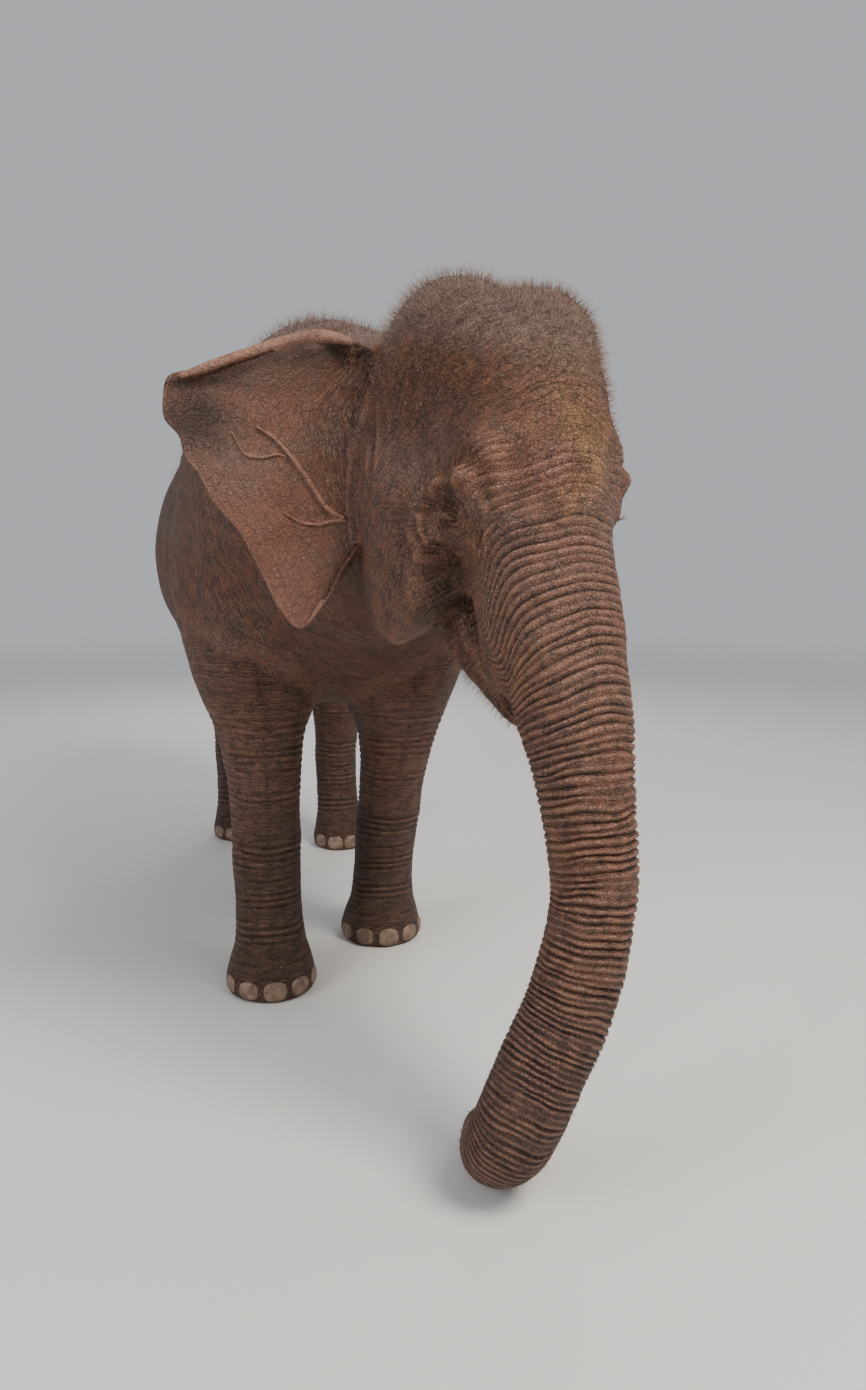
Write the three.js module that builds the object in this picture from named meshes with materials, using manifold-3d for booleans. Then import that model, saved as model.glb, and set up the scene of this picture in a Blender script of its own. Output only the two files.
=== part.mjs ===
// An Asian elephant cow, life size, as a still museum model. She stands with her head low, her right ear
// spread, her left ear laid back, and the end of her trunk curled on the ground.
//
// Millimetres, +Z up, ground at z = 0. She faces -Y, so her left side is +X.
//
// The flesh is a set of rounded masses that run softly into each other. Each body part is a tube: a row of
// rings round a middle line, where every ring point is the place at which the flesh ends. manifold-3d joins
// pieces into one body and cuts one body clear of the next.
import * as THREE from "three";
import { mergeVertices } from "three/addons/utils/BufferGeometryUtils.js";
import Module from "manifold-3d";

const wasm = await Module();
wasm.setup();

// ---------------------------------------------------------------- driving sizes
const GAP = 0.3; // between two parts that touch
const SIDES = { right: -1, left: 1 }; // sign of x

const HEAD_AT = [335, -1830, 1608]; // midway between the two eyes
const HEAD_YAW = 14; // degrees that the head is turned to her left
const HEAD_NOD = 12; // degrees that the nose is tipped down
const EYE_RADIUS = 21;
const LEG_CUT = 985; // height at which the legs part from the torso
const NAIL_SIZE = [40, 13, 34]; // half sizes: across, through, up
const NAIL_SINK = 5; // how far a nail's middle lies inside the foot
const NAIL_FACES = [7, 4]; // round a nail, and from its foot to its top
const NOSTRIL_RADIUS = 14;
const NOSTRIL_DEPTH = 60;
const FOLD_PITCH = 84; // from one fold of the trunk to the next
const FOLD_HEIGHT = 4.2;
const SPIKE = 8; // the most that a point of the flesh stands out from its neighbours
const CALM_PASSES = 4;

// ---------------------------------------------------------------- small helpers
const { degToRad: rad, lerp, clamp, smoothstep } = THREE.MathUtils;
const V = (x, y, z) => new THREE.Vector3(x, y, z);
const UP = V(0, 0, 1);

// The head's own frame: x to her left, y forward, z up, with the origin midway between the eyes.
const headTurn = new THREE.Quaternion().setFromAxisAngle(UP, Math.PI + rad(HEAD_YAW))
  .multiply(new THREE.Quaternion().setFromAxisAngle(V(1, 0, 0), -rad(HEAD_NOD)));
const HEAD = new THREE.Matrix4().compose(V(...HEAD_AT), headTurn, V(-1, 1, 1));
const HEAD_BACK = HEAD.clone().invert();
const onHead = (x, y, z) => V(x, y, z).applyMatrix4(HEAD);
const headWay = (x, y, z) => onHead(x, y, z).sub(onHead(0, 0, 0)).normalize();

// Reads a table of rows [key, value, value ...] at a key, running smoothly from row to row.
function readTable(rows, key) {
  const last = rows.length - 1;
  if (key <= rows[0][0]) return rows[0].slice(1);
  if (key >= rows[last][0]) return rows[last].slice(1);
  const i = rows.findIndex((row) => row[0] > key) - 1;
  const slope = (a, b, k) => (rows[b][k] - rows[a][k]) / (rows[b][0] - rows[a][0]);
  const width = rows[i + 1][0] - rows[i][0];
  const t = (key - rows[i][0]) / width;
  return rows[i].slice(1).map((value, n) => {
    const k = n + 1;
    const next = rows[i + 1][k];
    const slopeIn = slope(Math.max(i - 1, 0), i + 1, k) * width;
    const slopeOut = slope(i, Math.min(i + 2, last), k) * width;
    return (
      value + (next - value) * t * t * (3 - 2 * t) +
      slopeIn * t * (1 - t) * (1 - t) - slopeOut * t * t * (1 - t)
    );
  });
}

// ---------------------------------------------------------------- flesh as soft masses
// Each mass is an ellipsoid: its middle, its half sizes, and how softly it runs into what is there already.
// A pair stands on both sides, and a hollow is taken away.
const BODY_MASSES = [
  { name: "barrel", at: [0, 230, 1470], half: [592, 1120, 545], soft: 1 },
  { name: "back", at: [0, 160, 1750], half: [380, 1080, 555], soft: 260 },
  { name: "chest", at: [0, -640, 1450], half: [370, 380, 440], soft: 240 },
  { name: "withers", at: [0, -560, 1830], half: [270, 420, 420], soft: 300 },
  { name: "shoulder", at: [285, -600, 1520], half: [205, 320, 560], soft: 160, pair: true },
  { name: "hip", at: [285, 980, 1450], half: [250, 400, 540], soft: 200, pair: true },
  { name: "rump", at: [0, 1090, 1560], half: [380, 400, 470], soft: 220 },
  { name: "neck_root", at: [50, -960, 1690], half: [290, 400, 430], soft: 300 },
  { name: "neck", at: [170, -1290, 1690], half: [270, 400, 380], soft: 260 },
];
const HEAD_MASSES = [
  { name: "skull", at: [0, -230, 100], half: [262, 330, 350], soft: 160 },
  { name: "dome", at: [112, -262, 318], half: [162, 225, 205], soft: 90, pair: true },
  { name: "forehead", at: [0, -50, 120], half: [170, 190, 300], soft: 120 },
  { name: "trunk_root", at: [0, 62, -20], half: [158, 130, 190], soft: 80 },
  { name: "face", at: [4, 56, -200], half: [112, 124, 225], soft: 70 },
  { name: "brow", at: [188, 0, 86], half: [52, 78, 46], soft: 50, pair: true },
  { name: "cheekbone", at: [195, -190, -10], half: [82, 210, 110], soft: 90, pair: true },
  { name: "jowl", at: [190, -270, -150], half: [110, 190, 260], soft: 110, pair: true },
  { name: "tusk_socket", at: [70, 60, -280], half: [46, 80, 160], soft: 45, pair: true },
  { name: "temple", at: [306, -60, 240], half: [95, 150, 150], soft: 130, pair: true, hollow: true },
  { name: "eye_socket", at: [266, -10, 0], half: [46, 50, 38], soft: 40, pair: true, hollow: true },
  { name: "under_eye", at: [196, -4, -168], half: [54, 84, 78], soft: 50, pair: true, hollow: true },
];
const bothSides = (masses) =>
  masses.flatMap((m) => (m.pair ? [m, { ...m, at: [-m.at[0], m.at[1], m.at[2]] }] : [m]));
const BODY = bothSides(BODY_MASSES);
const SKULL = bothSides(HEAD_MASSES);

// How far a point is outside an ellipsoid, nearly: below zero inside.
function outside(p, { at, half }) {
  const x = p.x - at[0];
  const y = p.y - at[1];
  const z = p.z - at[2];
  const ratio = Math.hypot(x / half[0], y / half[1], z / half[2]);
  const slope = Math.hypot(x / half[0] ** 2, y / half[1] ** 2, z / half[2] ** 2);
  return slope < 1e-9 ? -Math.min(...half) : (ratio * (ratio - 1)) / slope;
}
// The nearer of two surfaces, rounded off where they meet.
function blend(a, b, soft) {
  const h = Math.max(soft - Math.abs(a - b), 0) / soft;
  return Math.min(a, b) - (h * h * soft) / 4;
}
const addMasses = (p, start, masses) => masses.reduce(
  (d, m) => (m.hollow ? -blend(-d, outside(p, m), m.soft) : blend(d, outside(p, m), m.soft)),
  start,
);

// ---------------------------------------------------------------- the middle line and the trunk
// Points of the trunk's middle line, with its radius there: first inside the face, then below it.
const FACE = [
  [...onHead(0, 20, -30).toArray(), 130],
  [...onHead(2, 70, -120).toArray(), 146],
  [...onHead(14, 114, -191).toArray(), 160],
];
const TRUNK = [
  [384, -1987, 1170, 140],
  [402, -2052, 945, 113],
  [406, -2094, 720, 101],
  [346, -2119, 486, 103],
  [283, -2132, 360, 104],
  [228, -2140, 246, 103],
  [207, -2131, 190, 101],
  [193, -2102, 140, 97],
  [189, -2056, 102, 90],
  [194, -2000, 80, 78],
  [205, -1926, 66, 62],
];
const TRUNK_AT = TRUNK.map(([x, y, z]) => V(x, y, z));
const SPINE = [V(0, 1500, 1570), V(0, 1000, 1515), V(0, 300, 1515), V(0, -350, 1602)];
// Through the head the line is one even arc about a point below the throat, so that rings never cross.
const ARC_MIDDLE = [-470, -845];
const ARC_RADIUS = 850;
const onArc = (slope, aside) => onHead(
  aside,
  ARC_MIDDLE[0] - ARC_RADIUS * Math.sin(rad(slope)),
  ARC_MIDDLE[1] + ARC_RADIUS * Math.cos(rad(slope)),
);
const NECK_LINE = [onHead(-26, -1115, -187), onArc(20, -28), onArc(14, -18), onArc(7, -6)];
const HEAD_LINE = [0, -8, -16, -24, -32, -40, -48].map((slope) => onArc(slope, 0));
const MIDDLE = new THREE.CatmullRomCurve3([...SPINE, ...NECK_LINE, ...HEAD_LINE, ...TRUNK_AT]);
MIDDLE.arcLengthDivisions = 2000;
const MIDDLE_LENGTH = MIDDLE.getLength();
const MIDDLE_STEPS = Array.from({ length: 1501 }, (_, i) => MIDDLE.getPointAt(i / 1500));

// How far along the middle line the point nearest to p lies, in millimetres from the rump.
function alongAt(p) {
  const distances = MIDDLE_STEPS.map((at) => at.distanceTo(p));
  return (distances.indexOf(Math.min(...distances)) / 1500) * MIDDLE_LENGTH;
}
const TRUNK_TABLE = TRUNK.map((row, i) => [alongAt(TRUNK_AT[i]), row[3]]);
const trunkRadius = (along) => readTable(TRUNK_TABLE, along)[0];
const FOLD_START = alongAt(onArc(-30, 0));
const TRUNK_END = MIDDLE_LENGTH;
const TRUNK_TOP = TRUNK_TABLE[0][0]; // where the head ends and the trunk begins

// The trunk near the face, as a row of balls, where it runs into the head's masses.
const FACE_ROWS = [...FACE, ...TRUNK.slice(0, 2)];
const FACE_LINE = new THREE.CatmullRomCurve3(FACE_ROWS.map(([x, y, z]) => V(x, y, z)));
const FACE_RADII = FACE_ROWS.map((row, i) => [i / (FACE_ROWS.length - 1), row[3]]);
const FACE_BALLS = Array.from({ length: 30 }, (_, i) => (
  { at: FACE_LINE.getPoint(i / 29), radius: readTable(FACE_RADII, i / 29)[0] }
));
const upperTrunk = (p) => Math.min(...FACE_BALLS.map((ball) => ball.at.distanceTo(p) - ball.radius));

const bodyField = (p) => addMasses(p, Infinity, BODY);
function wholeField(p) {
  const body = bodyField(p);
  if (p.y > -700) return body;
  const withHead = addMasses(p.clone().applyMatrix4(HEAD_BACK), body, SKULL);
  return blend(withHead, upperTrunk(p), 80);
}

// A place on the middle line with the ways across it: to her left, and away from her belly.
const NECK_ALONG = [alongAt(V(10, -700, 1590)), alongAt(onArc(-4, 0))];
function crossing(along) {
  const share = clamp(along / MIDDLE_LENGTH, 0, 1);
  const at = MIDDLE.getPointAt(share);
  const forward = MIDDLE.getTangentAt(share);
  const turn = smoothstep(along, ...NECK_ALONG) * rad(HEAD_YAW);
  const left = V(Math.cos(turn), Math.sin(turn), 0);
  left.addScaledVector(forward, -left.dot(forward)).normalize();
  return { at, forward, left, out: forward.clone().cross(left) };
}

// How far out from `from` along `way` the field first rises to `level`.
function reach(field, from, way, level) {
  const step = 20;
  const p = V(0, 0, 0);
  let far = step;
  while (field(p.copy(from).addScaledVector(way, far)) < level) far += step;
  let near = far - step;
  for (let i = 0; i < 14; i++) {
    const half = (near + far) / 2;
    if (field(p.copy(from).addScaledVector(way, half)) < level) near = half;
    else far = half;
  }
  return far;
}

// ---------------------------------------------------------------- making solids
// A closed body from rings of points: neighbours are joined, and each end is closed on its middle.
// From the column `turned` on, the faces are split along their other diagonal.
function fromRings(rings, turned = Infinity) {
  const count = rings[0].length;
  const points = rings.flat();
  const middleOf = (ring) => ring.reduce((sum, p) => sum.add(p), V(0, 0, 0)).divideScalar(count);
  points.push(middleOf(rings[0]), middleOf(rings.at(-1)));
  const end = (rings.length - 1) * count;
  const faces = [];
  for (let j = 0; j < count; j++) {
    const k = (j + 1) % count;
    for (let i = 0; i + 1 < rings.length; i++) {
      const a = i * count + j;
      const b = i * count + k;
      if (j < turned) faces.push(a, b, b + count, a, b + count, a + count);
      else faces.push(a, b, a + count, b, b + count, a + count);
    }
    faces.push(points.length - 2, k, j, points.length - 1, end + j, end + k);
  }
  const geometry = new THREE.BufferGeometry().setFromPoints(points);
  geometry.setIndex(faces);
  return solid(geometry);
}
// A geometry as a solid, with its shared points merged and its faces turned outwards.
function solid(geometry) {
  geometry.deleteAttribute("normal");
  geometry.deleteAttribute("uv");
  const merged = mergeVertices(geometry, 1e-3);
  const make = (triVerts) => new wasm.Manifold(
    new wasm.Mesh({ numProp: 3, vertProperties: merged.attributes.position.array, triVerts }),
  );
  const faces = new Uint32Array(merged.index.array);
  const made = make(faces);
  return made.volume() < 0 ? make(faces.reverse()) : made;
}
// A tube of ellipses. Each ring says where it is, which way its two axes point, and how long they are.
function fromEllipses(list, columns) {
  return fromRings(list.map(({ at, across, over, half }) => Array.from({ length: columns }, (_, j) => {
    const angle = (2 * Math.PI * (j + 0.5)) / columns;
    return at.clone().addScaledVector(across, Math.sin(angle) * half[0])
      .addScaledVector(over, Math.cos(angle) * half[1]);
  })));
}
// A round tube along points, with a radius for each.
function tube(points, radii, columns) {
  const curve = new THREE.CatmullRomCurve3(points);
  const rings = radii.map((radius, i) => {
    const share = i / (radii.length - 1);
    const forward = curve.getTangent(share);
    const across = V(1, 0, 0.01).cross(forward).normalize();
    return { at: curve.getPoint(share), across, over: across.clone().cross(forward), half: [radius, radius] };
  });
  return fromEllipses(rings, columns);
}
function ball(at, half, columns, rows, turn = new THREE.Quaternion()) {
  const sphere = new THREE.SphereGeometry(1, columns, rows);
  return solid(sphere.applyMatrix4(new THREE.Matrix4().compose(at, turn, V(...half))));
}
// A big box whose face lies at `at` and which holds everything on the side of `way`.
function halfSpace(at, way) {
  const size = 8000;
  const turn = new THREE.Quaternion().setFromUnitVectors(UP, way);
  const middle = at.clone().addScaledVector(way, size / 2);
  return solid(new THREE.BoxGeometry(size, size, size)
    .applyMatrix4(new THREE.Matrix4().compose(middle, turn, V(1, 1, 1))));
}
// The largest closed surface of a solid, so that no scrap stays.
const largest = (s) => s.decompose().reduce((a, b) => (b.volume() > a.volume() ? b : a));

const LOOKS = {
  skin: { color: 0x7d5748, roughness: 0.9 },
  nail: { color: 0x8f7c6c, roughness: 0.7 },
  hair: { color: 0x2b211d, roughness: 0.8 },
  eye: { color: 0x2a1710, roughness: 0.15 },
};
const elephant = new THREE.Group();
function add(name, look, made) {
  const mesh = largest(made).getMesh();
  const geometry = new THREE.BufferGeometry();
  geometry.setAttribute("position", new THREE.BufferAttribute(new Float32Array(mesh.vertProperties), 3));
  geometry.setIndex(new THREE.BufferAttribute(new Uint32Array(mesh.triVerts), 1));
  geometry.computeVertexNormals();
  const part = new THREE.Mesh(geometry, new THREE.MeshStandardMaterial({ ...LOOKS[look], metalness: 0 }));
  part.name = name;
  elephant.add(part);
}

// ---------------------------------------------------------------- body tubes
// Folds of the trunk: a round ridge, then a sharp groove. They run over the front and fade at the back.
const foldRise = (along) => {
  const turns = (along - FOLD_START) / FOLD_PITCH;
  const phase = turns - Math.floor(turns);
  const strength = smoothstep(along, FOLD_START, FOLD_START + 300) * (1 - 0.4 * smoothstep(along,
    TRUNK_END - 700, TRUNK_END));
  return FOLD_HEIGHT * (2 * Math.sin(Math.PI * phase) ** 0.6 - 1) * strength;
};
// Ring places from one end to the other, three to a fold where there are folds.
function ringPlaces(from, to, spacing) {
  const places = [from];
  const folded = FOLD_START + FOLD_PITCH;
  const plainEnd = Math.min(to, folded);
  const plainCount = Math.max(Math.round((plainEnd - from) / spacing), 0);
  for (let i = 1; i <= plainCount; i++) places.push(lerp(from, plainEnd, i / plainCount));
  const firstThird = Math.ceil(((from - FOLD_START) / FOLD_PITCH) * 3);
  for (let n = Math.max(firstThird, 4); ; n++) {
    const place = FOLD_START + (FOLD_PITCH * n) / 3;
    if (place > to - FOLD_PITCH / 6) break;
    if (place > places.at(-1) + FOLD_PITCH / 6) places.push(place);
  }
  if (places.at(-1) < to) places.push(to);
  return places;
}
// Draws in whatever stands out from its four neighbours, so that no steep wall turns into a spike.
function calm(reaches) {
  const columns = reaches[0].length;
  return reaches.map((row, i) => row.map((own, j) => {
    if (i === 0 || i === reaches.length - 1) return own;
    const beside = row[(j + 1) % columns] + row[(j + columns - 1) % columns];
    const mean = (beside + reaches[i - 1][j] + reaches[i + 1][j]) / 4;
    return clamp(own, mean - SPIKE, mean + SPIKE);
  }));
}
// A length of flesh, found ray by ray.
function fleshTube(field, places, columns, level = 0, calmPasses = 0) {
  const rings = places.map(crossing);
  const angles = Array.from({ length: columns }, (_, j) => (2 * Math.PI * (j + 0.5)) / columns);
  const ways = rings.map(({ left, out }) => angles.map((angle) => (
    out.clone().multiplyScalar(Math.cos(angle)).addScaledVector(left, Math.sin(angle))
  )));
  let reaches = rings.map(({ at }, i) => ways[i].map((way) => reach(field, at, way, level)));
  for (let pass = 0; pass < calmPasses; pass++) reaches = calm(reaches);
  return fromRings(rings.map(({ at }, i) => ways[i].map((way, j) => {
    const front = smoothstep(Math.cos(angles[j]), -0.2, 0.5);
    return at.clone().addScaledVector(way, reaches[i][j] + foldRise(places[i]) * front);
  })));
}
function trunkTube(places, columns) {
  return fromRings(places.map((along) => {
    const { at, left, out } = crossing(along);
    return Array.from({ length: columns }, (_, j) => {
      const angle = (2 * Math.PI * (j + 0.5)) / columns;
      const front = smoothstep(Math.cos(angle), -0.9, 0.3);
      const radius = trunkRadius(along) + foldRise(along) * lerp(0.4, 1, front);
      const flat = 1 - 0.07 * smoothstep(-Math.cos(angle), 0.2, 1);
      return at.clone().addScaledVector(out, Math.cos(angle) * radius * flat)
        .addScaledVector(left, Math.sin(angle) * radius);
    });
  }));
}

const TORSO_END = alongAt(V(20, -820, 1620));
const NECK_END = alongAt(onArc(1, 0));
const HALF = GAP / 2;
const torsoPlaces = ringPlaces(2, TORSO_END - HALF, 130);
const neckPlaces = ringPlaces(TORSO_END + HALF, NECK_END - HALF, 75);
const headPlaces = ringPlaces(NECK_END + HALF, TRUNK_TOP - HALF, 34);
let torso = fleshTube(bodyField, torsoPlaces, 32);
const neck = fleshTube(wholeField, neckPlaces, 32);
let head = fleshTube(wholeField, headPlaces, 48, 0, CALM_PASSES);
// The same bodies grown by the gap on every side, to cut their neighbours clear of them.
const grow = (places) => places.map((place, i) => place + GAP * ((i === places.length - 1) - (i === 0)));
const neckGrown = fleshTube(wholeField, grow(neckPlaces), 32, GAP);
const headGrown = fleshTube(wholeField, grow(headPlaces), 48, GAP, CALM_PASSES);
const clearOfHead = (made) => made.subtract(neckGrown).subtract(headGrown);

// ---------------------------------------------------------------- legs
// Rows of [height, x, y, half width, half depth]; x is away from the middle of the body.
const LEGS = {
  foreleg_right: {
    side: "right", nails: 5, cuts: [485, 175],
    rows: [
      [0, 240, -800, 148, 156], [35, 240, -800, 155, 163], [105, 240, -796, 142, 150],
      [170, 240, -790, 122, 130], [300, 241, -788, 112, 119], [480, 243, -786, 117, 124],
      [700, 245, -778, 122, 138], [880, 250, -755, 143, 172], [1000, 256, -730, 170, 205],
      [1150, 264, -688, 198, 222], [1450, 270, -590, 195, 225],
    ],
  },
  foreleg_left: {
    side: "left", nails: 5, cuts: [485, 175],
    rows: [
      [0, 222, -430, 148, 156], [35, 222, -430, 155, 163], [105, 222, -434, 142, 150],
      [170, 223, -446, 122, 130], [300, 226, -478, 112, 119], [480, 232, -528, 117, 124],
      [700, 242, -590, 122, 140], [880, 252, -642, 143, 174], [1000, 258, -664, 170, 208],
      [1150, 266, -672, 198, 228], [1450, 270, -590, 195, 225],
    ],
  },
  hindleg_right: {
    side: "right", nails: 4, cuts: [520, 190],
    rows: [
      [0, 245, 1080, 122, 148], [35, 245, 1080, 128, 155], [110, 245, 1084, 117, 140],
      [190, 245, 1096, 104, 124], [300, 245, 1112, 100, 118], [430, 246, 1122, 103, 130],
      [560, 248, 1096, 108, 132], [700, 252, 1050, 124, 160], [850, 258, 1020, 150, 200],
      [1000, 266, 1010, 185, 250], [1200, 280, 1010, 220, 300], [1500, 285, 1000, 225, 320],
    ],
  },
  hindleg_left: {
    side: "left", nails: 4, cuts: [520, 190],
    rows: [
      [0, 245, 800, 122, 148], [35, 245, 800, 128, 155], [110, 245, 806, 117, 140],
      [190, 245, 824, 104, 124], [300, 245, 850, 100, 118], [430, 246, 872, 103, 130],
      [560, 248, 872, 108, 132], [700, 252, 862, 124, 160], [850, 258, 880, 150, 200],
      [1000, 266, 916, 185, 250], [1200, 280, 955, 220, 300], [1500, 285, 970, 225, 320],
    ],
  },
};
function legPiece({ side, rows }, low, high, spacing, grown = 0) {
  const count = Math.max(Math.round((high - low) / spacing), 2);
  const rings = Array.from({ length: count + 1 }, (_, i) => {
    const height = lerp(low, high, i / count);
    const [x, y, wide, deep] = readTable(rows, height);
    const at = V(SIDES[side] * x, y, height);
    return { at, across: V(1, 0, 0), over: V(0, 1, 0), half: [wide + grown, deep + grown] };
  });
  return fromEllipses(rings, 20);
}
for (const [name, leg] of Object.entries(LEGS)) {
  const [knee, ankle] = leg.cuts;
  torso = torso.add(legPiece(leg, LEG_CUT + HALF, 1440, 90));
  torso = torso.subtract(legPiece(leg, 700, LEG_CUT + HALF, 90, GAP));
  const [limb, side] = name.split("leg_");
  add(`${limb}leg_upper_${side}`, "skin", legPiece(leg, knee + HALF, LEG_CUT - HALF, 84));
  add(`${limb}leg_lower_${side}`, "skin", legPiece(leg, ankle + HALF, knee - HALF, 80));
  let foot = legPiece(leg, 0, ankle - HALF, 44);
  const [x, y, wide, deep] = readTable(leg.rows, NAIL_SIZE[2]);
  for (let i = 0; i < leg.nails; i++) {
    const angle = rad((i - (leg.nails - 1) / 2) * (leg.nails === 5 ? 35 : 37));
    const size = 1 - 0.09 * Math.abs(i - (leg.nails - 1) / 2);
    const at = V(
      SIDES[leg.side] * x + Math.sin(angle) * (wide - NAIL_SINK),
      y - Math.cos(angle) * (deep - NAIL_SINK),
      NAIL_SIZE[2] + 8,
    );
    const turn = new THREE.Quaternion().setFromAxisAngle(UP, angle);
    const half = NAIL_SIZE.map((s) => s * size);
    const nail = ball(at, half, ...NAIL_FACES, turn);
    foot = foot.subtract(ball(at, half.map((s) => s + 0.5), ...NAIL_FACES, turn));
    add(`nail_${limb}_${side}_${i + 1}`, "nail", nail);
  }
  add(`${limb}foot_${side}`, "skin", foot);
}
const shoulderCut = crossing(TORSO_END - HALF);
torso = torso.subtract(halfSpace(shoulderCut.at, shoulderCut.forward));

// ---------------------------------------------------------------- ears
// The edge of the ear from the top of its root round to the bottom: [out from the root, up from the eyes].
const EAR_EDGE = [
  [0, 420], [60, 446], [120, 452], [190, 440], [255, 420], [320, 392], [398, 356], [478, 336], [494, 284],
  [492, 232], [458, 190], [446, 140], [414, 100], [384, 36], [318, -45], [264, -148], [218, -240],
  [168, -290], [112, -232], [62, -140], [20, -82],
].map(([x, z]) => V(x, z, 0));
const EAR_CURVE = new THREE.CatmullRomCurve3(EAR_EDGE, false, "centripetal");
// `spread` is the angle from straight back; the sheet bellies forward and its top rim rolls over.
const EARS = {
  right: { spread: 66, roll: 74, belly: 26, root: [292, -352] },
  left: { spread: 30, roll: 50, belly: 26, root: [292, -352] },
};
const EAR_ROWS = 26;
const EAR_COLUMNS = [0, 0.2, 0.4, 0.58, 0.73, 0.85, 0.93, 1]; // shares of the way from root to edge
function earSheet(side) {
  const { spread, roll, belly, root } = EARS[side];
  const sign = SIDES[side];
  const angle = rad(spread);
  const out = headWay(sign * Math.sin(angle), -Math.cos(angle), 0).setZ(0).normalize();
  const front = out.clone().cross(UP).multiplyScalar(-sign);
  const base = onHead(sign * root[0], root[1], 0).setZ(HEAD_AT[2]);
  const middle = (u, v) => {
    const edge = EAR_CURVE.getPoint(v);
    const inner = V(-46, lerp(400, -60, v), 0);
    const flat = inner.clone().lerp(edge, u);
    const top = 1 - smoothstep(v, 0.1, 0.36);
    const wide = smoothstep(v, 0, 0.12) * (1 - smoothstep(v, 0.88, 1)); // less where the sheet is narrow
    const bulge = belly * wide * Math.sin(Math.PI * Math.min(u * 1.3, 1)) -
      24 * smoothstep(u, 0.75, 1) * (1 - top);
    const rim = top * smoothstep(v, 0.04, 0.18) * Math.sin(Math.PI * Math.min(v * 2.8, 1)) *
      (roll * smoothstep(u, 0.7, 1) - 0.3 * roll * Math.sin(Math.PI * clamp((u - 0.4) / 0.42, 0, 1)));
    const lift = bulge + rim - 34 * smoothstep(v, 0.72, 0.85) * u;
    return base.clone().addScaledVector(out, flat.x).addScaledVector(UP, flat.y)
      .addScaledVector(front, lift);
  };
  // Both faces stand off the middle sheet, half square to it and half straight ahead.
  const place = (u, v, face) => {
    const across = middle(Math.min(u + 0.02, 1), v).sub(middle(Math.max(u - 0.02, 0), v));
    const down = middle(u, Math.min(v + 0.02, 1)).sub(middle(u, Math.max(v - 0.02, 0)));
    const share = smoothstep(v, 0.04, 0.16);
    const size = across.length() * down.length();
    const square = across.clone().cross(down).multiplyScalar(sign * share / size);
    const way = square.addScaledVector(front, 0.5).normalize();
    return middle(u, v).addScaledVector(way, face * lerp(15, 7, smoothstep(u, 0, 0.9)));
  };
  const rings = [];
  for (let i = 0; i <= EAR_ROWS; i++) {
    const v = i / EAR_ROWS;
    const forward = EAR_COLUMNS.map((u) => place(u, v, 1));
    const back = EAR_COLUMNS.toReversed().map((u) => place(u, v, -1));
    rings.push([...forward, ...back]);
  }
  return fromRings(rings, EAR_COLUMNS.length);
}
for (const side of ["right", "left"]) {
  add(`ear_${side}`, "skin", clearOfHead(earSheet(side)));
}

// ---------------------------------------------------------------- eyes and lids
for (const side of ["right", "left"]) {
  const sign = SIDES[side];
  const way = headWay(sign, 0.22, -0.05);
  const inside = onHead(sign * 100, -14, 0);
  const surface = inside.clone().addScaledVector(way, reach(wholeField, inside, way, 0));
  const at = surface.clone().addScaledVector(way, -14);
  const along = headWay(-sign * 0.22, 1, -0.12);
  const over = way.clone().cross(along).multiplyScalar(sign).normalize();
  // Each lid is a bar that lies over the eyeball from corner to corner.
  for (const [lid, opening] of [["upper", 9], ["lower", -11]]) {
    const points = Array.from({ length: 7 }, (_, i) => {
      const t = rad(lerp(-84, 84, i / 6));
      const height = opening * Math.cos(t) + (lid === "upper" ? 4 : -3);
      const wide = Math.sin(t) * (EYE_RADIUS + 9);
      const depth = Math.sqrt(Math.max((EYE_RADIUS + 4) ** 2 - height ** 2 - wide ** 2 * 0.55, 0));
      return at.clone().addScaledVector(along, wide).addScaledVector(over, height)
        .addScaledVector(way, depth);
    });
    const thick = lid === "upper" ? 9 : 7.5;
    head = head.add(tube(points, [5, thick, thick, thick, thick, thick, 5], 7));
  }
  head = head.subtract(ball(at, [1, 1, 1].map(() => EYE_RADIUS + 0.45), 12, 8));
  add(`eye_${side}`, "eye", ball(at, [EYE_RADIUS, EYE_RADIUS, EYE_RADIUS], 12, 8));
}

// ---------------------------------------------------------------- lower jaw and mouth
const JAW = [
  [-190, -270, 114, 104], [-135, -348, 110, 92], [-78, -408, 90, 74],
  [-22, -452, 64, 54], [30, -492, 42, 34], [68, -522, 20, 15],
];
const jawRing = ([y, z, wide, deep]) => ({
  at: onHead(0, y, z), across: headWay(1, 0, 0), over: headWay(0, 0.64, 0.77), half: [wide, deep],
});
let jaw = fromEllipses(JAW.map(jawRing), 20);
// The lower lip is a soft roll that runs down each side of the mouth and meets at the point of the jaw.
const LIP_RADII = [19, 18, 16, 14, 12, 9];
for (const sign of [-1, 1]) {
  const line = JAW.map(([y, z, wide, deep]) => onHead(
    sign * wide * 0.86, y + deep * 0.36, z + deep * 0.44,
  ));
  jaw = jaw.add(tube(line, LIP_RADII, 7));
}
add("lower_jaw", "skin", clearOfHead(jaw));

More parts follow.
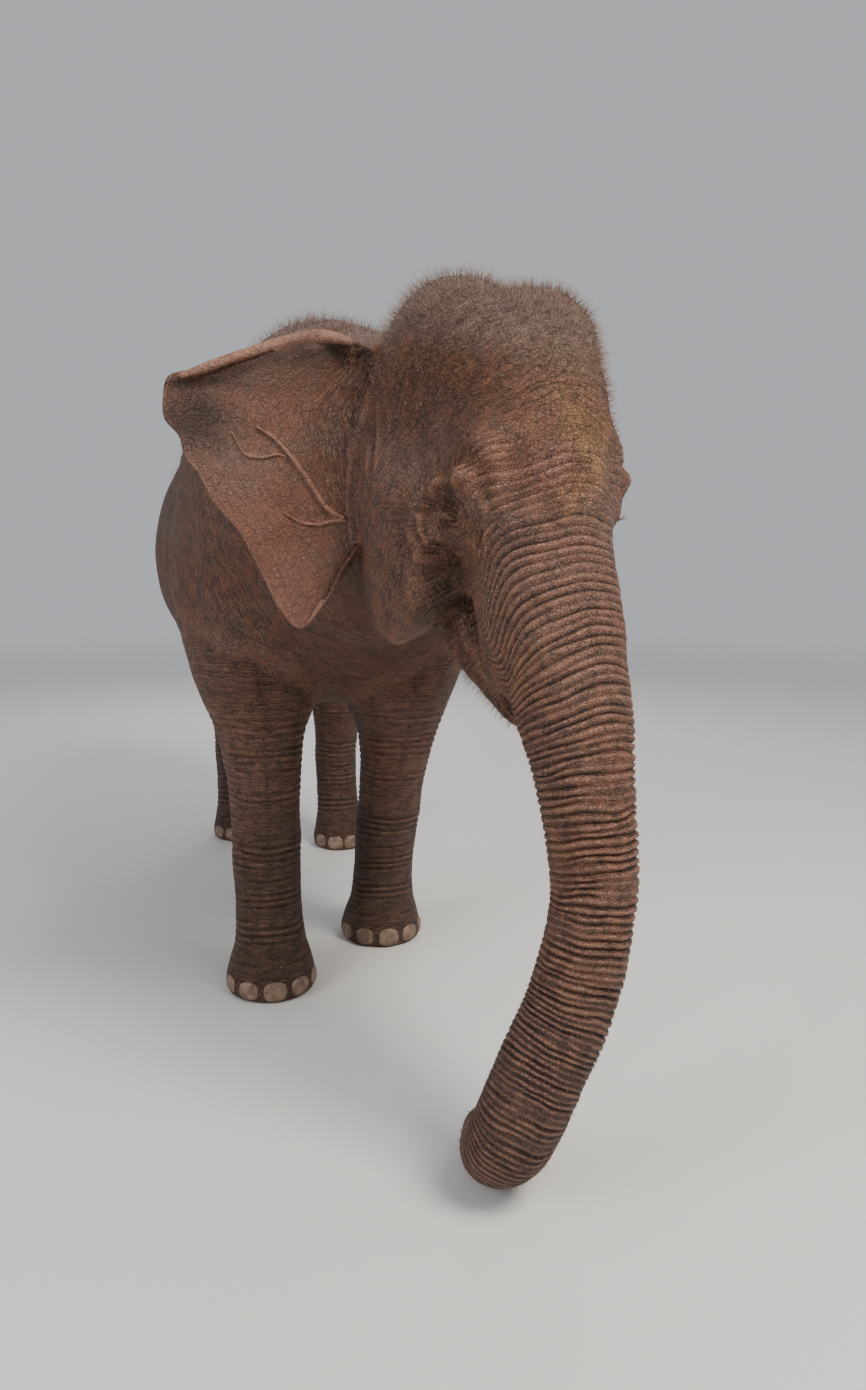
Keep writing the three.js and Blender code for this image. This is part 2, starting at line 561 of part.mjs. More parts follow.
// ---------------------------------------------------------------- trunk pieces, nostrils and finger
const TRUNK_CUTS = [TRUNK_TOP, TRUNK_TABLE[2][0], TRUNK_TABLE[5][0], TRUNK_TABLE[7][0], TRUNK_END];
const underground = halfSpace(V(0, 0, 0), V(0, 0, -1));
["trunk_upper", "trunk_middle", "trunk_lower", "trunk_tip"].forEach((name, i) => {
  const places = ringPlaces(TRUNK_CUTS[i] + HALF, TRUNK_CUTS[i + 1] - HALF, FOLD_PITCH / 3);
  let piece = trunkTube(places, 20);
  if (name === "trunk_tip") {
    const { at, forward, left, out } = crossing(TRUNK_END);
    const fingerAt = at.clone().addScaledVector(out, 36).addScaledVector(forward, 8);
    piece = piece.add(ball(fingerAt, [24, 24, 30], 10, 8));
    for (const sign of [-1, 1]) {
      const mouth = at.clone().addScaledVector(left, sign * 20).addScaledVector(out, -4);
      const back = mouth.clone().addScaledVector(forward, -NOSTRIL_DEPTH);
      const front = mouth.clone().addScaledVector(forward, NOSTRIL_DEPTH);
      piece = piece.subtract(tube([back, mouth, front], [9, NOSTRIL_RADIUS, NOSTRIL_RADIUS], 9));
    }
  }
  add(name, "skin", piece.subtract(underground));
});

// ---------------------------------------------------------------- tail
const TAIL = [
  V(0, 1380, 1790), V(0, 1490, 1740), V(4, 1545, 1600), V(10, 1570, 1400), V(22, 1572, 1180),
  V(32, 1560, 960), V(36, 1556, 780),
];
const TAIL_RADII = [62, 58, 50, 43, 37, 32, 28, 25, 22, 20, 18, 17];
add("tail", "skin", tube(TAIL, TAIL_RADII, 10));
const tailEnd = TAIL.at(-1);
const beyond = (end, before) => end.clone().addScaledVector(end.clone().sub(before).normalize(), 2 * GAP);
const tailGrown = tube(
  [beyond(TAIL[0], TAIL[1]), ...TAIL.slice(1, -1), beyond(tailEnd, TAIL.at(-2))],
  TAIL_RADII.map((r) => r + GAP), 10,
);
torso = torso.subtract(tailGrown);

let tuft = tube([tailEnd.clone().add(V(0, 0, 30)), tailEnd.clone().add(V(0, -2, -70)),
  tailEnd.clone().add(V(0, -4, -170))], [20, 25, 20, 8], 10);
for (let i = 0; i < 12; i++) {
  const turn = i * 2.4;
  const spread = 10 + 34 * ((i * 0.618) % 1);
  const long = 190 + 70 * ((i * 0.37) % 1);
  const start = tailEnd.clone().add(V(Math.cos(turn) * 9, Math.sin(turn) * 9, -18 - 5 * (i % 5)));
  const aside = V(Math.cos(turn), Math.sin(turn), 0);
  const middle = start.clone().addScaledVector(aside, spread * 0.8).addScaledVector(UP, -long * 0.5);
  const end = start.clone().addScaledVector(aside, spread * 0.7).addScaledVector(UP, -long);
  tuft = tuft.add(tube([start, middle, end], [8, 9, 1.5], 4));
}
add("tail_tuft", "hair", tuft.subtract(tailGrown));

add("torso", "skin", torso);
add("neck", "skin", neck);
add("head", "skin", head);

// ---------------------------------------------------------------- origin under the middle of the box
const box = new THREE.Box3().setFromObject(elephant);
const shift = V(-(box.min.x + box.max.x) / 2, -(box.min.y + box.max.y) / 2, -box.min.z);
for (const part of elephant.children) part.geometry.translate(shift.x, shift.y, shift.z);

export default elephant;
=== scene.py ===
# %% [markdown]
# # An Asian elephant cow, life size
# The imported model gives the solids: head, neck, torso, ears, legs, a ringed trunk and a tail. This lesson dresses
# them. One skin goes over all the flesh, because on the living animal no line parts the neck from the body. Eyes
# and nails stay pieces of their own, since they are made of something else. Thin bristles stand on the skin.
#
# Sizes are in millimetres in the animal's own frame, as in the solids, and are turned into metres at the end.

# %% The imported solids
import math
import bpy
import numpy as np
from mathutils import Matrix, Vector


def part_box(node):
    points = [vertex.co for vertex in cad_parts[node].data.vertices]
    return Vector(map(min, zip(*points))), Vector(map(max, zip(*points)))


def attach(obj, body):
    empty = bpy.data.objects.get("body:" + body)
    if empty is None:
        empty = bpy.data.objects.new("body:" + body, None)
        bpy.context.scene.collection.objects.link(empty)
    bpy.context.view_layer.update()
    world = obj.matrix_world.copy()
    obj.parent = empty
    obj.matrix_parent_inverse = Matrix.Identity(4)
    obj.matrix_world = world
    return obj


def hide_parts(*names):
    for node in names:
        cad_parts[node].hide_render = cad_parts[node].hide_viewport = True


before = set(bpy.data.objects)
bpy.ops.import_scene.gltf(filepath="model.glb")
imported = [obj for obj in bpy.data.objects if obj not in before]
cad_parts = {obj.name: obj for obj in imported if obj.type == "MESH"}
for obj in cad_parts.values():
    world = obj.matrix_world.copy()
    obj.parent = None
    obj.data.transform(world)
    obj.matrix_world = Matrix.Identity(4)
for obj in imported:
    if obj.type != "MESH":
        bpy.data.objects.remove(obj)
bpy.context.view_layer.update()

# %% [markdown]
# ## One shared frame
# The solids were moved so that the middle of their box is the origin. The eyes are balls whose places the design
# knows, so the middle of the right one tells how far everything was moved.

# %% How far the solids were moved
EYE_AT = np.array([139.053, -1886.658, 1601.083])
eye_low, eye_high = (np.array(corner) * 1000 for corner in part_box("eye_right"))
SHIFT = np.array([*((eye_low + eye_high) / 2 - EYE_AT)[:2], 0.0])
print("moved by", SHIFT.round(2), "mm")


def to_metres(points):
    """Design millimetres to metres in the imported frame: (p + shift) / 1000."""
    return (points + SHIFT) / 1000


# %% [markdown]
# ## Small tools
# A few functions are used all along: an even step, a mix of two values, a bell, vectors of length 1, the ways round
# a circle, a table read with a smooth curve, and a lattice noise. Noise could come from Blender's textures, but
# whole arrays in numpy are quicker and give the same result on each run.

# %% Steps, tables and noise
def step(x, low, high):
    """Runs smoothly from 0 at low to 1 at high: t^2 (3 - 2t)."""
    t = np.clip((x - low) / (high - low), 0, 1)
    return t * t * (3 - 2 * t)


def mix(a, b, share):
    """a where share is 0 and b where it is 1: a + (b - a) share."""
    return a + (b - a) * share


def bell(x, wide):
    """1 at nought, 0.37 at `wide` to either side of it, and soon nothing: exp(-(x / wide)^2)."""
    return np.exp(-(x / wide) ** 2)


def unit(ways, least=1e-9):
    """Ways of length 1: v / |v|."""
    return ways / np.maximum(np.linalg.norm(ways, axis=-1), least)[..., None]


def circle(turn, start, quarter):
    """The ways round a circle, one for each angle: start cos + quarter sin."""
    return np.cos(turn)[..., None] * start + np.sin(turn)[..., None] * quarter


def even_turns(count):
    """Angles at even distances once round, from 0."""
    return np.arange(count) / count * 2 * math.pi


def run_along(line):
    """How far along a line of points each of them lies."""
    return np.concatenate([[0], np.cumsum(np.linalg.norm(np.diff(line, axis=0), axis=1))])


def read_table(rows, key):
    """Rows [key, value ...] read at each key: a cubic through the rows, with slopes from the rows on both sides."""
    rows = np.asarray(rows, float)
    x, y = rows[:, 0], rows[:, 1:]
    key = np.clip(np.asarray(key, float), x[0], x[-1])
    i = np.clip(np.searchsorted(x, key, side="right") - 1, 0, len(x) - 2)
    wide = (x[i + 1] - x[i])[:, None]
    t = (key - x[i])[:, None] / wide
    before, after = np.maximum(i - 1, 0), np.minimum(i + 2, len(x) - 1)
    slope_in = (y[i + 1] - y[before]) / (x[i + 1] - x[before])[:, None] * wide
    slope_out = (y[after] - y[i]) / (x[after] - x[i])[:, None] * wide
    rise = (y[i + 1] - y[i]) * t * t * (3 - 2 * t)
    return y[i] + rise + slope_in * t * (1 - t) ** 2 - slope_out * t * t * (1 - t)


LATTICE_SIZE = 65521
LATTICE = np.random.default_rng(7).uniform(-1, 1, LATTICE_SIZE)


def noise(points, size, seed=0):
    """Value noise from -1 to 1: random numbers on a lattice of cells of the given size, blended along every axis by
    t^2 (3 - 2t). The size is one number, or one for each axis."""
    cell = points / np.asarray(size, float)
    base = np.floor(cell).astype(np.int64)
    t = cell - base
    t = t * t * (3 - 2 * t)
    total = 0
    for corner in np.ndindex(2, 2, 2):
        at = base + corner
        place = at[..., 0] * 7919 + at[..., 1] * 104729 + at[..., 2] * 1299709 + seed * 31337
        total = total + LATTICE[place % LATTICE_SIZE] * np.prod(np.where(corner, t, 1 - t), axis=-1)
    return total


def crease(points, size, seed, sharp):
    """Narrow lines where the noise passes through zero: 1 on the line, 0 where |noise| is over `sharp`."""
    return 1 - step(np.abs(noise(points, size, seed)), 0, sharp)


# %% [markdown]
# ## Flesh as soft masses
# The animal's form is a set of ellipsoids, each for something a person can feel under the skin: the barrel of the
# ribs, the shoulder, the dome of the skull, the brow. Where two come near, they run into each other over a given
# width, as flesh does. The same sizes made the solids, so the skin lies on them. A sculpted mesh could give the
# same form, but sizes with names can be corrected one by one.

# %% The masses of the body and of the head
HEAD_AT = np.array([335.0, -1830.0, 1608.0])
HEAD_YAW, HEAD_NOD = math.radians(14), math.radians(12)
HEAD_LEFT = np.array([math.cos(HEAD_YAW), math.sin(HEAD_YAW), 0])
LEVEL_AHEAD = np.array([math.sin(HEAD_YAW), -math.cos(HEAD_YAW), 0])
HEAD_AHEAD = LEVEL_AHEAD * math.cos(HEAD_NOD) - np.array([0, 0, math.sin(HEAD_NOD)])
HEAD_UP = LEVEL_AHEAD * math.sin(HEAD_NOD) + np.array([0, 0, math.cos(HEAD_NOD)])
HEAD_AXES = np.array([HEAD_LEFT, HEAD_AHEAD, HEAD_UP])


def on_head(x, y, z):
    """A point given from midway between the eyes: x to her left, y ahead, z up."""
    return HEAD_AT + np.asarray(x)[..., None] * HEAD_LEFT + np.asarray(y)[..., None] * HEAD_AHEAD + (
        np.asarray(z)[..., None] * HEAD_UP)


def in_head(points):
    """The reverse of on_head."""
    return (points - HEAD_AT) @ HEAD_AXES.T


# name: middle, half sizes, how softly it joins, and whether it is a pair or a hollow
BODY_MASSES = {
    "barrel": ((0, 230, 1470), (592, 1120, 545), 1, ""),
    "back": ((0, 160, 1750), (380, 1080, 555), 260, ""),
    "chest": ((0, -640, 1450), (370, 380, 440), 240, ""),
    "withers": ((0, -560, 1830), (270, 420, 420), 300, ""),
    "shoulder": ((285, -600, 1520), (205, 320, 560), 160, "pair"),
    "hip": ((285, 980, 1450), (250, 400, 540), 200, "pair"),
    "rump": ((0, 1090, 1560), (380, 400, 470), 220, ""),
    "neck_root": ((50, -960, 1690), (290, 400, 430), 300, ""),
    "neck": ((170, -1290, 1690), (270, 400, 380), 260, ""),
}
HEAD_MASSES = {
    "skull": ((0, -230, 100), (262, 330, 350), 160, ""),
    "dome": ((112, -262, 318), (162, 225, 205), 90, "pair"),
    "forehead": ((0, -50, 120), (170, 190, 300), 120, ""),
    "trunk_root": ((0, 62, -20), (158, 130, 190), 80, ""),
    "face": ((4, 56, -200), (112, 124, 225), 70, ""),
    "brow": ((192, -6, 112), (72, 92, 112), 80, "pair"),
    "cheekbone": ((195, -190, -10), (82, 210, 110), 90, "pair"),
    "jowl": ((190, -270, -150), (110, 190, 260), 110, "pair"),
    "tusk_socket": ((70, 60, -280), (46, 80, 160), 45, "pair"),
    "temple": ((306, -60, 240), (95, 150, 150), 130, "pair hollow"),
    "eye_socket": ((266, -10, 0), (46, 50, 38), 40, "pair hollow"),
    "under_eye": ((196, -4, -168), (54, 84, 78), 50, "pair hollow"),
}


def both_sides(masses):
    """Each mass as (middle, half sizes, softness, hollow), with a pair listed for both sides."""
    listed = []
    for at, half, soft, kind in masses.values():
        for side in (1, -1) if "pair" in kind else (1,):
            middle = np.array([at[0] * side, at[1], at[2]], float)
            listed.append((middle, np.array(half, float), soft, "hollow" in kind))
    return listed


BODY, SKULL = both_sides(BODY_MASSES), both_sides(HEAD_MASSES)


def outside(points, at, half):
    """How far points are outside an ellipsoid, nearly: r (r - 1) / |gradient of r|, with r = |(p - at) / half|."""
    away = points - at
    ratio = np.sqrt(((away / half) ** 2).sum(-1))
    slope = np.sqrt(((away / half ** 2) ** 2).sum(-1))
    return np.where(slope < 1e-9, -half.min(), ratio * (ratio - 1) / np.maximum(slope, 1e-9))


def overlap(a, b, soft):
    """What two surfaces add to each other where both are near: h^2 soft / 4, h = max(soft - |a - b|, 0) / soft."""
    h = np.maximum(soft - np.abs(a - b), 0) / soft
    return h * h * soft / 4


def blend(a, b, soft):
    """The nearer of two surfaces, rounded where they meet: min(a, b) - overlap."""
    return np.minimum(a, b) - overlap(a, b, soft)


def add_masses(points, start, masses):
    """Joins each mass to what is there, and takes each hollow away: -blend(-d, hollow)."""
    d = start
    for at, half, soft, hollow in masses:
        other = outside(points, at, half)
        d = other if d is None else (-blend(-d, other, soft) if hollow else blend(d, other, soft))
    return d


print("masses:", len(BODY), "of the body,", len(SKULL), "of the head")

# %% [markdown]
# ## The middle line
# One line runs from the rump through the neck and the head down to the end of the trunk. Everything along it is a
# tube of rings, so the folds of the trunk can follow the rings. Inside the head it is an arc about a point below
# the throat, so that the rings open like a fan over the crown and never cross.

# %% The line and its frames
TRUNK = np.array([
    [384, -1987, 1170, 140], [402, -2052, 945, 113], [406, -2094, 720, 101], [346, -2119, 486, 103],
    [283, -2132, 360, 104], [228, -2140, 246, 103], [207, -2131, 190, 101], [193, -2102, 140, 97],
    [189, -2056, 102, 90], [194, -2000, 80, 78], [205, -1926, 66, 62],
], float)
FACE = np.array([[*on_head(0, 20, -30), 130], [*on_head(2, 70, -120), 146], [*on_head(14, 114, -191), 160]])
SPINE = [(0, 1500, 1570), (0, 1000, 1515), (0, 300, 1515), (0, -350, 1602)]
ARC_MIDDLE, ARC_RADIUS = (-470, -845), 850


def on_arc(slope, aside=0):
    """A point of the arc through the head, `slope` degrees back from straight above its middle."""
    turn = math.radians(slope)
    return on_head(aside, ARC_MIDDLE[0] - ARC_RADIUS * math.sin(turn),
                   ARC_MIDDLE[1] + ARC_RADIUS * math.cos(turn))


def through(points, share):
    """A centripetal Catmull-Rom curve through the points, at each share from 0 to 1 of its spans."""
    points = np.asarray(points, float)
    padded = np.vstack([2 * points[0] - points[1], points, 2 * points[-1] - points[-2]])
    spans = len(points) - 1
    place = np.asarray(share) * spans
    i = np.minimum(place.astype(int), spans - 1)
    t = (place - i)[:, None]
    p0, p1, p2, p3 = (padded[i + n] for n in range(4))
    d0, d1, d2 = (np.sqrt(np.linalg.norm(step_on, axis=1))[:, None] for step_on in (p1 - p0, p2 - p1, p3 - p2))
    slope_1 = ((p1 - p0) / d0 - (p2 - p0) / (d0 + d1) + (p2 - p1) / d1) * d1
    slope_2 = ((p2 - p1) / d1 - (p3 - p1) / (d1 + d2) + (p3 - p2) / d2) * d1
    square = -3 * p1 + 3 * p2 - 2 * slope_1 - slope_2
    return p1 + slope_1 * t + square * t ** 2 + (2 * p1 - 2 * p2 + slope_1 + slope_2) * t ** 3


neck_line = [on_head(-26, -1115, -187), on_arc(20, -28), on_arc(14, -18), on_arc(7, -6)]
head_line = [on_arc(slope) for slope in (0, -8, -16, -24, -32, -40, -48)]
dense = through([*SPINE, *neck_line, *head_line, *TRUNK[:, :3]], np.linspace(0, 1, 20001))
run = run_along(dense)
LENGTH = run[-1]
LINE_PLACES = np.linspace(0, LENGTH, 2601)
LINE = np.stack([np.interp(LINE_PLACES, run, dense[:, k]) for k in range(3)], -1)
AHEAD = unit(np.gradient(LINE, axis=0))


def along_at(point):
    """How far along the line its nearest point to this one lies, in millimetres from the rump."""
    return LINE_PLACES[np.argmin(np.linalg.norm(LINE - point, axis=1))]


NECK_TURN = along_at((10, -700, 1590)), along_at(on_arc(-4))
ARC_TOP = along_at(on_arc(0))
FOLD_START = along_at(on_arc(-26))
TRUNK_PLACES = np.array([along_at(point) for point in TRUNK[:, :3]])
TRUNK_TABLE = np.column_stack([TRUNK_PLACES, TRUNK[:, 3]])
TRUNK_TOP = TRUNK_PLACES[0]


def crossing(along):
    """At each place along the line: the point, her left, the way out from the belly, and the way ahead."""
    at, ahead = (np.stack([np.interp(along, LINE_PLACES, rows[:, k]) for k in range(3)], -1)
                 for rows in (LINE, AHEAD))
    ahead = unit(ahead)
    turn = step(along, *NECK_TURN) * HEAD_YAW
    left = np.stack([np.cos(turn), np.sin(turn), np.zeros_like(turn)], -1)
    left = unit(left - ahead * (left * ahead).sum(-1)[..., None])
    return at, left, np.cross(ahead, left), ahead


print("line: %.0f mm, folds from %.0f, trunk from %.0f" % (LENGTH, FOLD_START, TRUNK_TOP))

# %% [markdown]
# ## Where the flesh ends
# The masses of body and head and a row of balls down the upper trunk make one field: it is negative inside the
# flesh and positive outside. A leg has a field of its own. Where leg and body meet, each is raised by what the other
# adds, so their skins touch in one smooth web, as at a real armpit and groin.

# %% The field of the flesh
BALLS, BALL_SOFT = 30, 80  # how many, and how softly they join the head
HEAD_STARTS_AT = -700
face_rows = np.vstack([FACE, TRUNK[:2]])
ball_share = np.linspace(0, 1, BALLS)
BALL_AT = through(face_rows[:, :3], ball_share)
BALL_RADIUS = read_table(np.column_stack([np.linspace(0, 1, 5), face_rows[:, 3]]), ball_share)[:, 0]


def trunk_field(points):
    """How far points are outside the row of balls down the upper trunk."""
    d = np.full(points.shape[:-1], np.inf)
    for at, radius in zip(BALL_AT, BALL_RADIUS):
        d = np.minimum(d, np.linalg.norm(points - at, axis=-1) - radius)
    return d


def flesh(points):
    """How far points are outside the body and head, without legs, ears and jaw."""
    body = add_masses(points, None, BODY)
    head = blend(add_masses(in_head(points), body, SKULL), trunk_field(points), BALL_SOFT)
    return np.where(points[..., 1] > HEAD_STARTS_AT, body, head)


print("field at the eye: %.1f mm" % flesh(EYE_AT[None])[0])

# %% [markdown]
# ## Legs as stacks of ellipses
# An elephant's leg is nearly round, so a few level ellipses give it: where the middle is, how wide and how deep. The
# forefeet are round and wide, the hind feet longer and narrower. She stands with the left forefoot back and the left
# hind foot ahead, as in a slow walk that has just ended.

# %% Ellipses of the legs
# height, how far from the middle of the body, y, half width, half depth
LEGS = {
    "fore_right": (-1, [[0, 240, -800, 148, 156], [35, 240, -800, 155, 163], [105, 240, -796, 142, 150],
                        [170, 240, -790, 122, 130], [300, 241, -788, 112, 119], [480, 243, -786, 117, 124],
                        [700, 245, -778, 122, 138], [880, 250, -755, 143, 172], [1000, 256, -730, 170, 205],
                        [1150, 264, -688, 198, 222], [1450, 270, -590, 195, 225]]),
    "fore_left": (1, [[0, 222, -430, 148, 156], [35, 222, -430, 155, 163], [105, 222, -434, 142, 150],
                      [170, 223, -446, 122, 130], [300, 226, -478, 112, 119], [480, 232, -528, 117, 124],
                      [700, 242, -590, 122, 140], [880, 252, -642, 143, 174], [1000, 258, -664, 170, 208],
                      [1150, 266, -672, 198, 228], [1450, 270, -590, 195, 225]]),
    "hind_right": (-1, [[0, 245, 1080, 122, 148], [35, 245, 1080, 128, 155], [110, 245, 1084, 117, 140],
                        [190, 245, 1096, 104, 124], [300, 245, 1112, 100, 118], [430, 246, 1122, 103, 130],
                        [560, 248, 1096, 108, 132], [700, 252, 1050, 124, 160], [850, 258, 1020, 150, 200],
                        [1000, 266, 1010, 185, 250], [1200, 280, 1010, 220, 300], [1500, 285, 1000, 225, 320]]),
    "hind_left": (1, [[0, 245, 800, 122, 148], [35, 245, 800, 128, 155], [110, 245, 806, 117, 140],
                      [190, 245, 824, 104, 124], [300, 245, 850, 100, 118], [430, 246, 872, 103, 130],
                      [560, 248, 872, 108, 132], [700, 252, 862, 124, 160], [850, 258, 880, 150, 200],
                      [1000, 266, 916, 185, 250], [1200, 280, 955, 220, 300], [1500, 285, 970, 225, 320]]),
}
LEG_WEB = 150  # how widely a leg runs into the body


def leg_field(points, side, rows):
    """How far points are outside a leg, measured level: as `outside`, with the ellipse of that height."""
    x, y, wide, deep = read_table(rows, points[..., 2].ravel()).T.reshape(4, *points.shape[:-1])
    across, along = points[..., 0] - side * x, points[..., 1] - y
    ratio = np.sqrt((across / wide) ** 2 + (along / deep) ** 2)
    slope = np.sqrt((across / wide ** 2) ** 2 + (along / deep ** 2) ** 2)
    above = np.maximum(points[..., 2] - rows[-1][0], 0)
    return ratio * (ratio - 1) / np.maximum(slope, 1e-9) + above


def body_with_webs(points):
    """The field of the flesh, lowered by what each leg adds to it."""
    d = flesh(points)
    low = d.copy()
    for side, rows in LEGS.values():
        low -= overlap(d, leg_field(points, side, rows), LEG_WEB)
    return low


def slope_of(field, points, reach=2.0):
    """The unit direction in which a field grows fastest, from its values a short way along each axis."""
    return unit(np.stack([field(points + reach * axis) - field(points - reach * axis) for axis in np.eye(3)], -1))


def find_surface(field, start, way, rounds=26):
    """From points inside, goes along each way until the field is nought: t = t - 0.96 field(start + t way)."""
    t = np.full(start.shape[:-1], 10.0)
    for _ in range(rounds):
        t -= np.clip(field(start + t[..., None] * way), -160, 60) * 0.96
    return start + t[..., None] * way


print("legs:", list(LEGS))

# %% [markdown]
# ## Rings of skin from rump to trunk tip
# The skin of body, head and trunk is one tube of rings from the rump to the end of the trunk. The rings lie closer
# together where there is more to see, and on the trunk there are three to each fold. Folds are narrow where they
# start between the brows, widest on the upper trunk and narrow again at the tip. Round each ring the points are
# closer in front and on top than below.

# %% The rows along the body
RUMP_MIDDLE = 470
RUMP_ROWS, TORSO_ROWS, NECK_ROWS, HEAD_ROWS = 20, 62, 34, 50
TORSO_END, NECK_END = along_at((20, -820, 1620)), along_at(on_arc(1))
AROUND, TRUNK_AROUND = 144, 72
FOLD_PITCH = [[FOLD_START, 11.5], [3440, 13], [3540, 15.5], [3640, 17.5], [3800, 20], [4300, 18.5],
              [4700, 14], [LENGTH, 10.5]]
ROWS_IN_FOLD = 3

places = np.linspace(FOLD_START, LENGTH, 4000)
pitch = read_table(FOLD_PITCH, places)[:, 0]
turns = np.concatenate([[0], np.cumsum(np.diff(places) / ((pitch[1:] + pitch[:-1]) / 2))])
FOLDS = int(turns[-1])
fold_rows = np.interp(np.arange(FOLDS * ROWS_IN_FOLD + 1) / ROWS_IN_FOLD, turns, places)
head_fold_rows = fold_rows[fold_rows < TRUNK_TOP]
trunk_rows = fold_rows[fold_rows >= TRUNK_TOP]
spans = ((RUMP_MIDDLE, TORSO_END, TORSO_ROWS), (TORSO_END, NECK_END, NECK_ROWS), (NECK_END, FOLD_START, HEAD_ROWS))
body_rows = np.concatenate([np.full(RUMP_ROWS, RUMP_MIDDLE), *[
    np.linspace(start, end, rows, endpoint=False) for start, end, rows in spans], head_fold_rows])
lean = np.concatenate([np.linspace(90, 0, RUMP_ROWS + 1)[1:-1], np.zeros(len(body_rows) - RUMP_ROWS + 1)])
print("folds on the trunk: %d, rows: %d wide and %d narrow" % (FOLDS, len(body_rows), len(trunk_rows)))
for start, end, rows in spans:
    print("from %.0f to %.0f mm along the line: a row every %.1f mm" % (start, end, (end - start) / rows))

# %% [markdown]
# ## Rays to the skin
# Rays go out from the middle line, ring after ring, and stop at the surface of the flesh. At the rump they fan
# backward to one point. On the face the folds don't lie square to the trunk. At the sides they climb to the brow,
# and in the middle they hang, so there the rows are drawn along the surface before they are traced.

# %% Tracing the body
CROWDED = 0.4
CLIMB = [[4, 0], [18, 50], [26, 80], [30, 66], [35.4, 52], [41, 38], [47, 22], [56, 0]]  # degrees of arc, mm
SAG = [[20, 0], [26, 66], [44, 76], [56, 34], [70, 0]]
CLIMB_STARTS, FRONT_ENDS = (12, 62), (95, 150)  # degrees from the front


def angles(count):
    """The angle of each column from the front, closer together in front: t - 0.4 sin t."""
    t = even_turns(count)
    return t - CROWDED * np.sin(t)


def aside(count):
    """How far each column is from the front, either way round: 0 in front, pi behind."""
    return np.abs((angles(count) + math.pi) % (2 * math.pi) - math.pi)


def climbing(along, count):
    """Where each point of a row lies along the line: rows climb to the brow at the sides, and sag as 1 - cos."""
    degrees, side = np.degrees((along - ARC_TOP) / ARC_RADIUS), aside(count)
    climb, sag = (read_table(table, degrees) for table in (CLIMB, SAG))
    moved = climb * step(np.degrees(side), *CLIMB_STARTS) - sag * (1 - np.cos(side))
    return along[:, None] - moved * (1 - step(np.degrees(side), *FRONT_ENDS))


def rays(along, count, lean=0):
    """Start and way of `count` rays round the line at each place; angle 0 faces out, a quarter turn her left."""
    at, left, out, ahead = crossing(climbing(along, count))
    back = np.radians(np.broadcast_to(lean, along.shape))[:, None, None]
    return at, circle(angles(count), out, left) * np.cos(back) - ahead * np.sin(back)


def trunk_radius(along):
    """Half the width of the trunk at each place."""
    return read_table(TRUNK_TABLE, along)[:, 0]


def traced(along, count, lean=0):
    """Points of the skin: on the field of the flesh, and below the top of the trunk at the trunk's own radius."""
    start, way = rays(along, count, lean)
    round_share = step(along, TRUNK_TOP - 120, TRUNK_TOP + 40)
    shaped = np.array(start)
    free = round_share < 1
    if free.any():
        shaped[free] = find_surface(body_with_webs, start[free], way[free])
    return mix(shaped, start + trunk_radius(along)[:, None, None] * way, round_share[:, None, None])


body = traced(body_rows, AROUND, lean)
trunk = traced(trunk_rows, TRUNK_AROUND)
print("points:", body.shape, trunk.shape, "box", body.min((0, 1)).round(), body.max((0, 1)).round())

# %% [markdown]
# ## Loosening the rings
# Rays give rings that bunch up in hollows and stretch over bulges. A few rounds of moving each point toward the
# middle of its four neighbours and then back on to the surface spread them evenly. It fades out where the folds
# start, because there the rows have to follow the folds.

# %% Evening out the rows
LOOSEN_ROUNDS, ROUNDS_TO_SETTLE = 10, 3


def settled(points, field):
    """Moves points on to the surface of a field along its slope: p = p - slope field(p)."""
    return points - slope_of(field, points) * np.clip(field(points), -40, 40)[..., None]


def loosened(points, rows_share, field, rounds):
    """Each point goes half way to the mean of its four neighbours, by its row's share, and settles now and then."""
    moving = rows_share > 0
    for turn in range(1, rounds + 1):
        ends = np.concatenate([points[:1], points, points[-1:]])
        mean = (ends[2:] + ends[:-2] + np.roll(points, 1, 1) + np.roll(points, -1, 1)) / 4
        points = points + (mean - points) * (rows_share * 0.5)[:, None, None]
        if turn % ROUNDS_TO_SETTLE == 0:
            points[moving] = settled(points[moving], field)
    return points


free_share = 1 - step(body_rows, FOLD_START - 160, FOLD_START)
free_share[:2] = 0
body = loosened(body, free_share, body_with_webs, LOOSEN_ROUNDS)
print("widest gap left in a row: %.0f mm" % np.linalg.norm(np.diff(body, axis=1), axis=-1).max())

# %% [markdown]
# ## Folds across the trunk
# The trunk has no bones, so its skin is laid in rings that can open and close. Each groove is narrow and each
# ridge broad, which the power of a sine gives. A groove is deep on one side and fades on the other, at random, so
# that neighbours seem to run together. On the face the folds keep to the root of the trunk.

# %% Folding the trunk
FOLD_DEPTH = [[FOLD_START, 2.4], [FOLD_START + 120, 3.7], [3560, 4.3], [3800, 5.2], [4300, 4.7], [4700, 3.4],
              [LENGTH, 2.2]]
FOLD_REACH = [[26, 44], [30, 52], [33, 62], [37, 76], [42, 90], [50, 120], [56, 180]]  # degrees of arc, and aside
RIDGE_POWER, RIDGE_SHARE, GROOVE_SHARE = 0.55, 0.28, 1.5
GROOVE_APART, FOLD_APART = 260, 26  # how far along the noise one groove, or one fold, is from the next
NOISE_RADIUS = 110


def around_noise(along, count, size, seed):
    """Noise on the wall of a cylinder, so that it closes: x, y on a circle, z along."""
    ring = np.stack([np.cos(angles(count)), np.sin(angles(count))], -1) * NOISE_RADIUS
    points = np.concatenate([np.broadcast_to(ring, (len(along), count, 2)),
                             np.broadcast_to(along[:, None, None], (len(along), count, 1))], -1)
    return noise(points, size, seed)


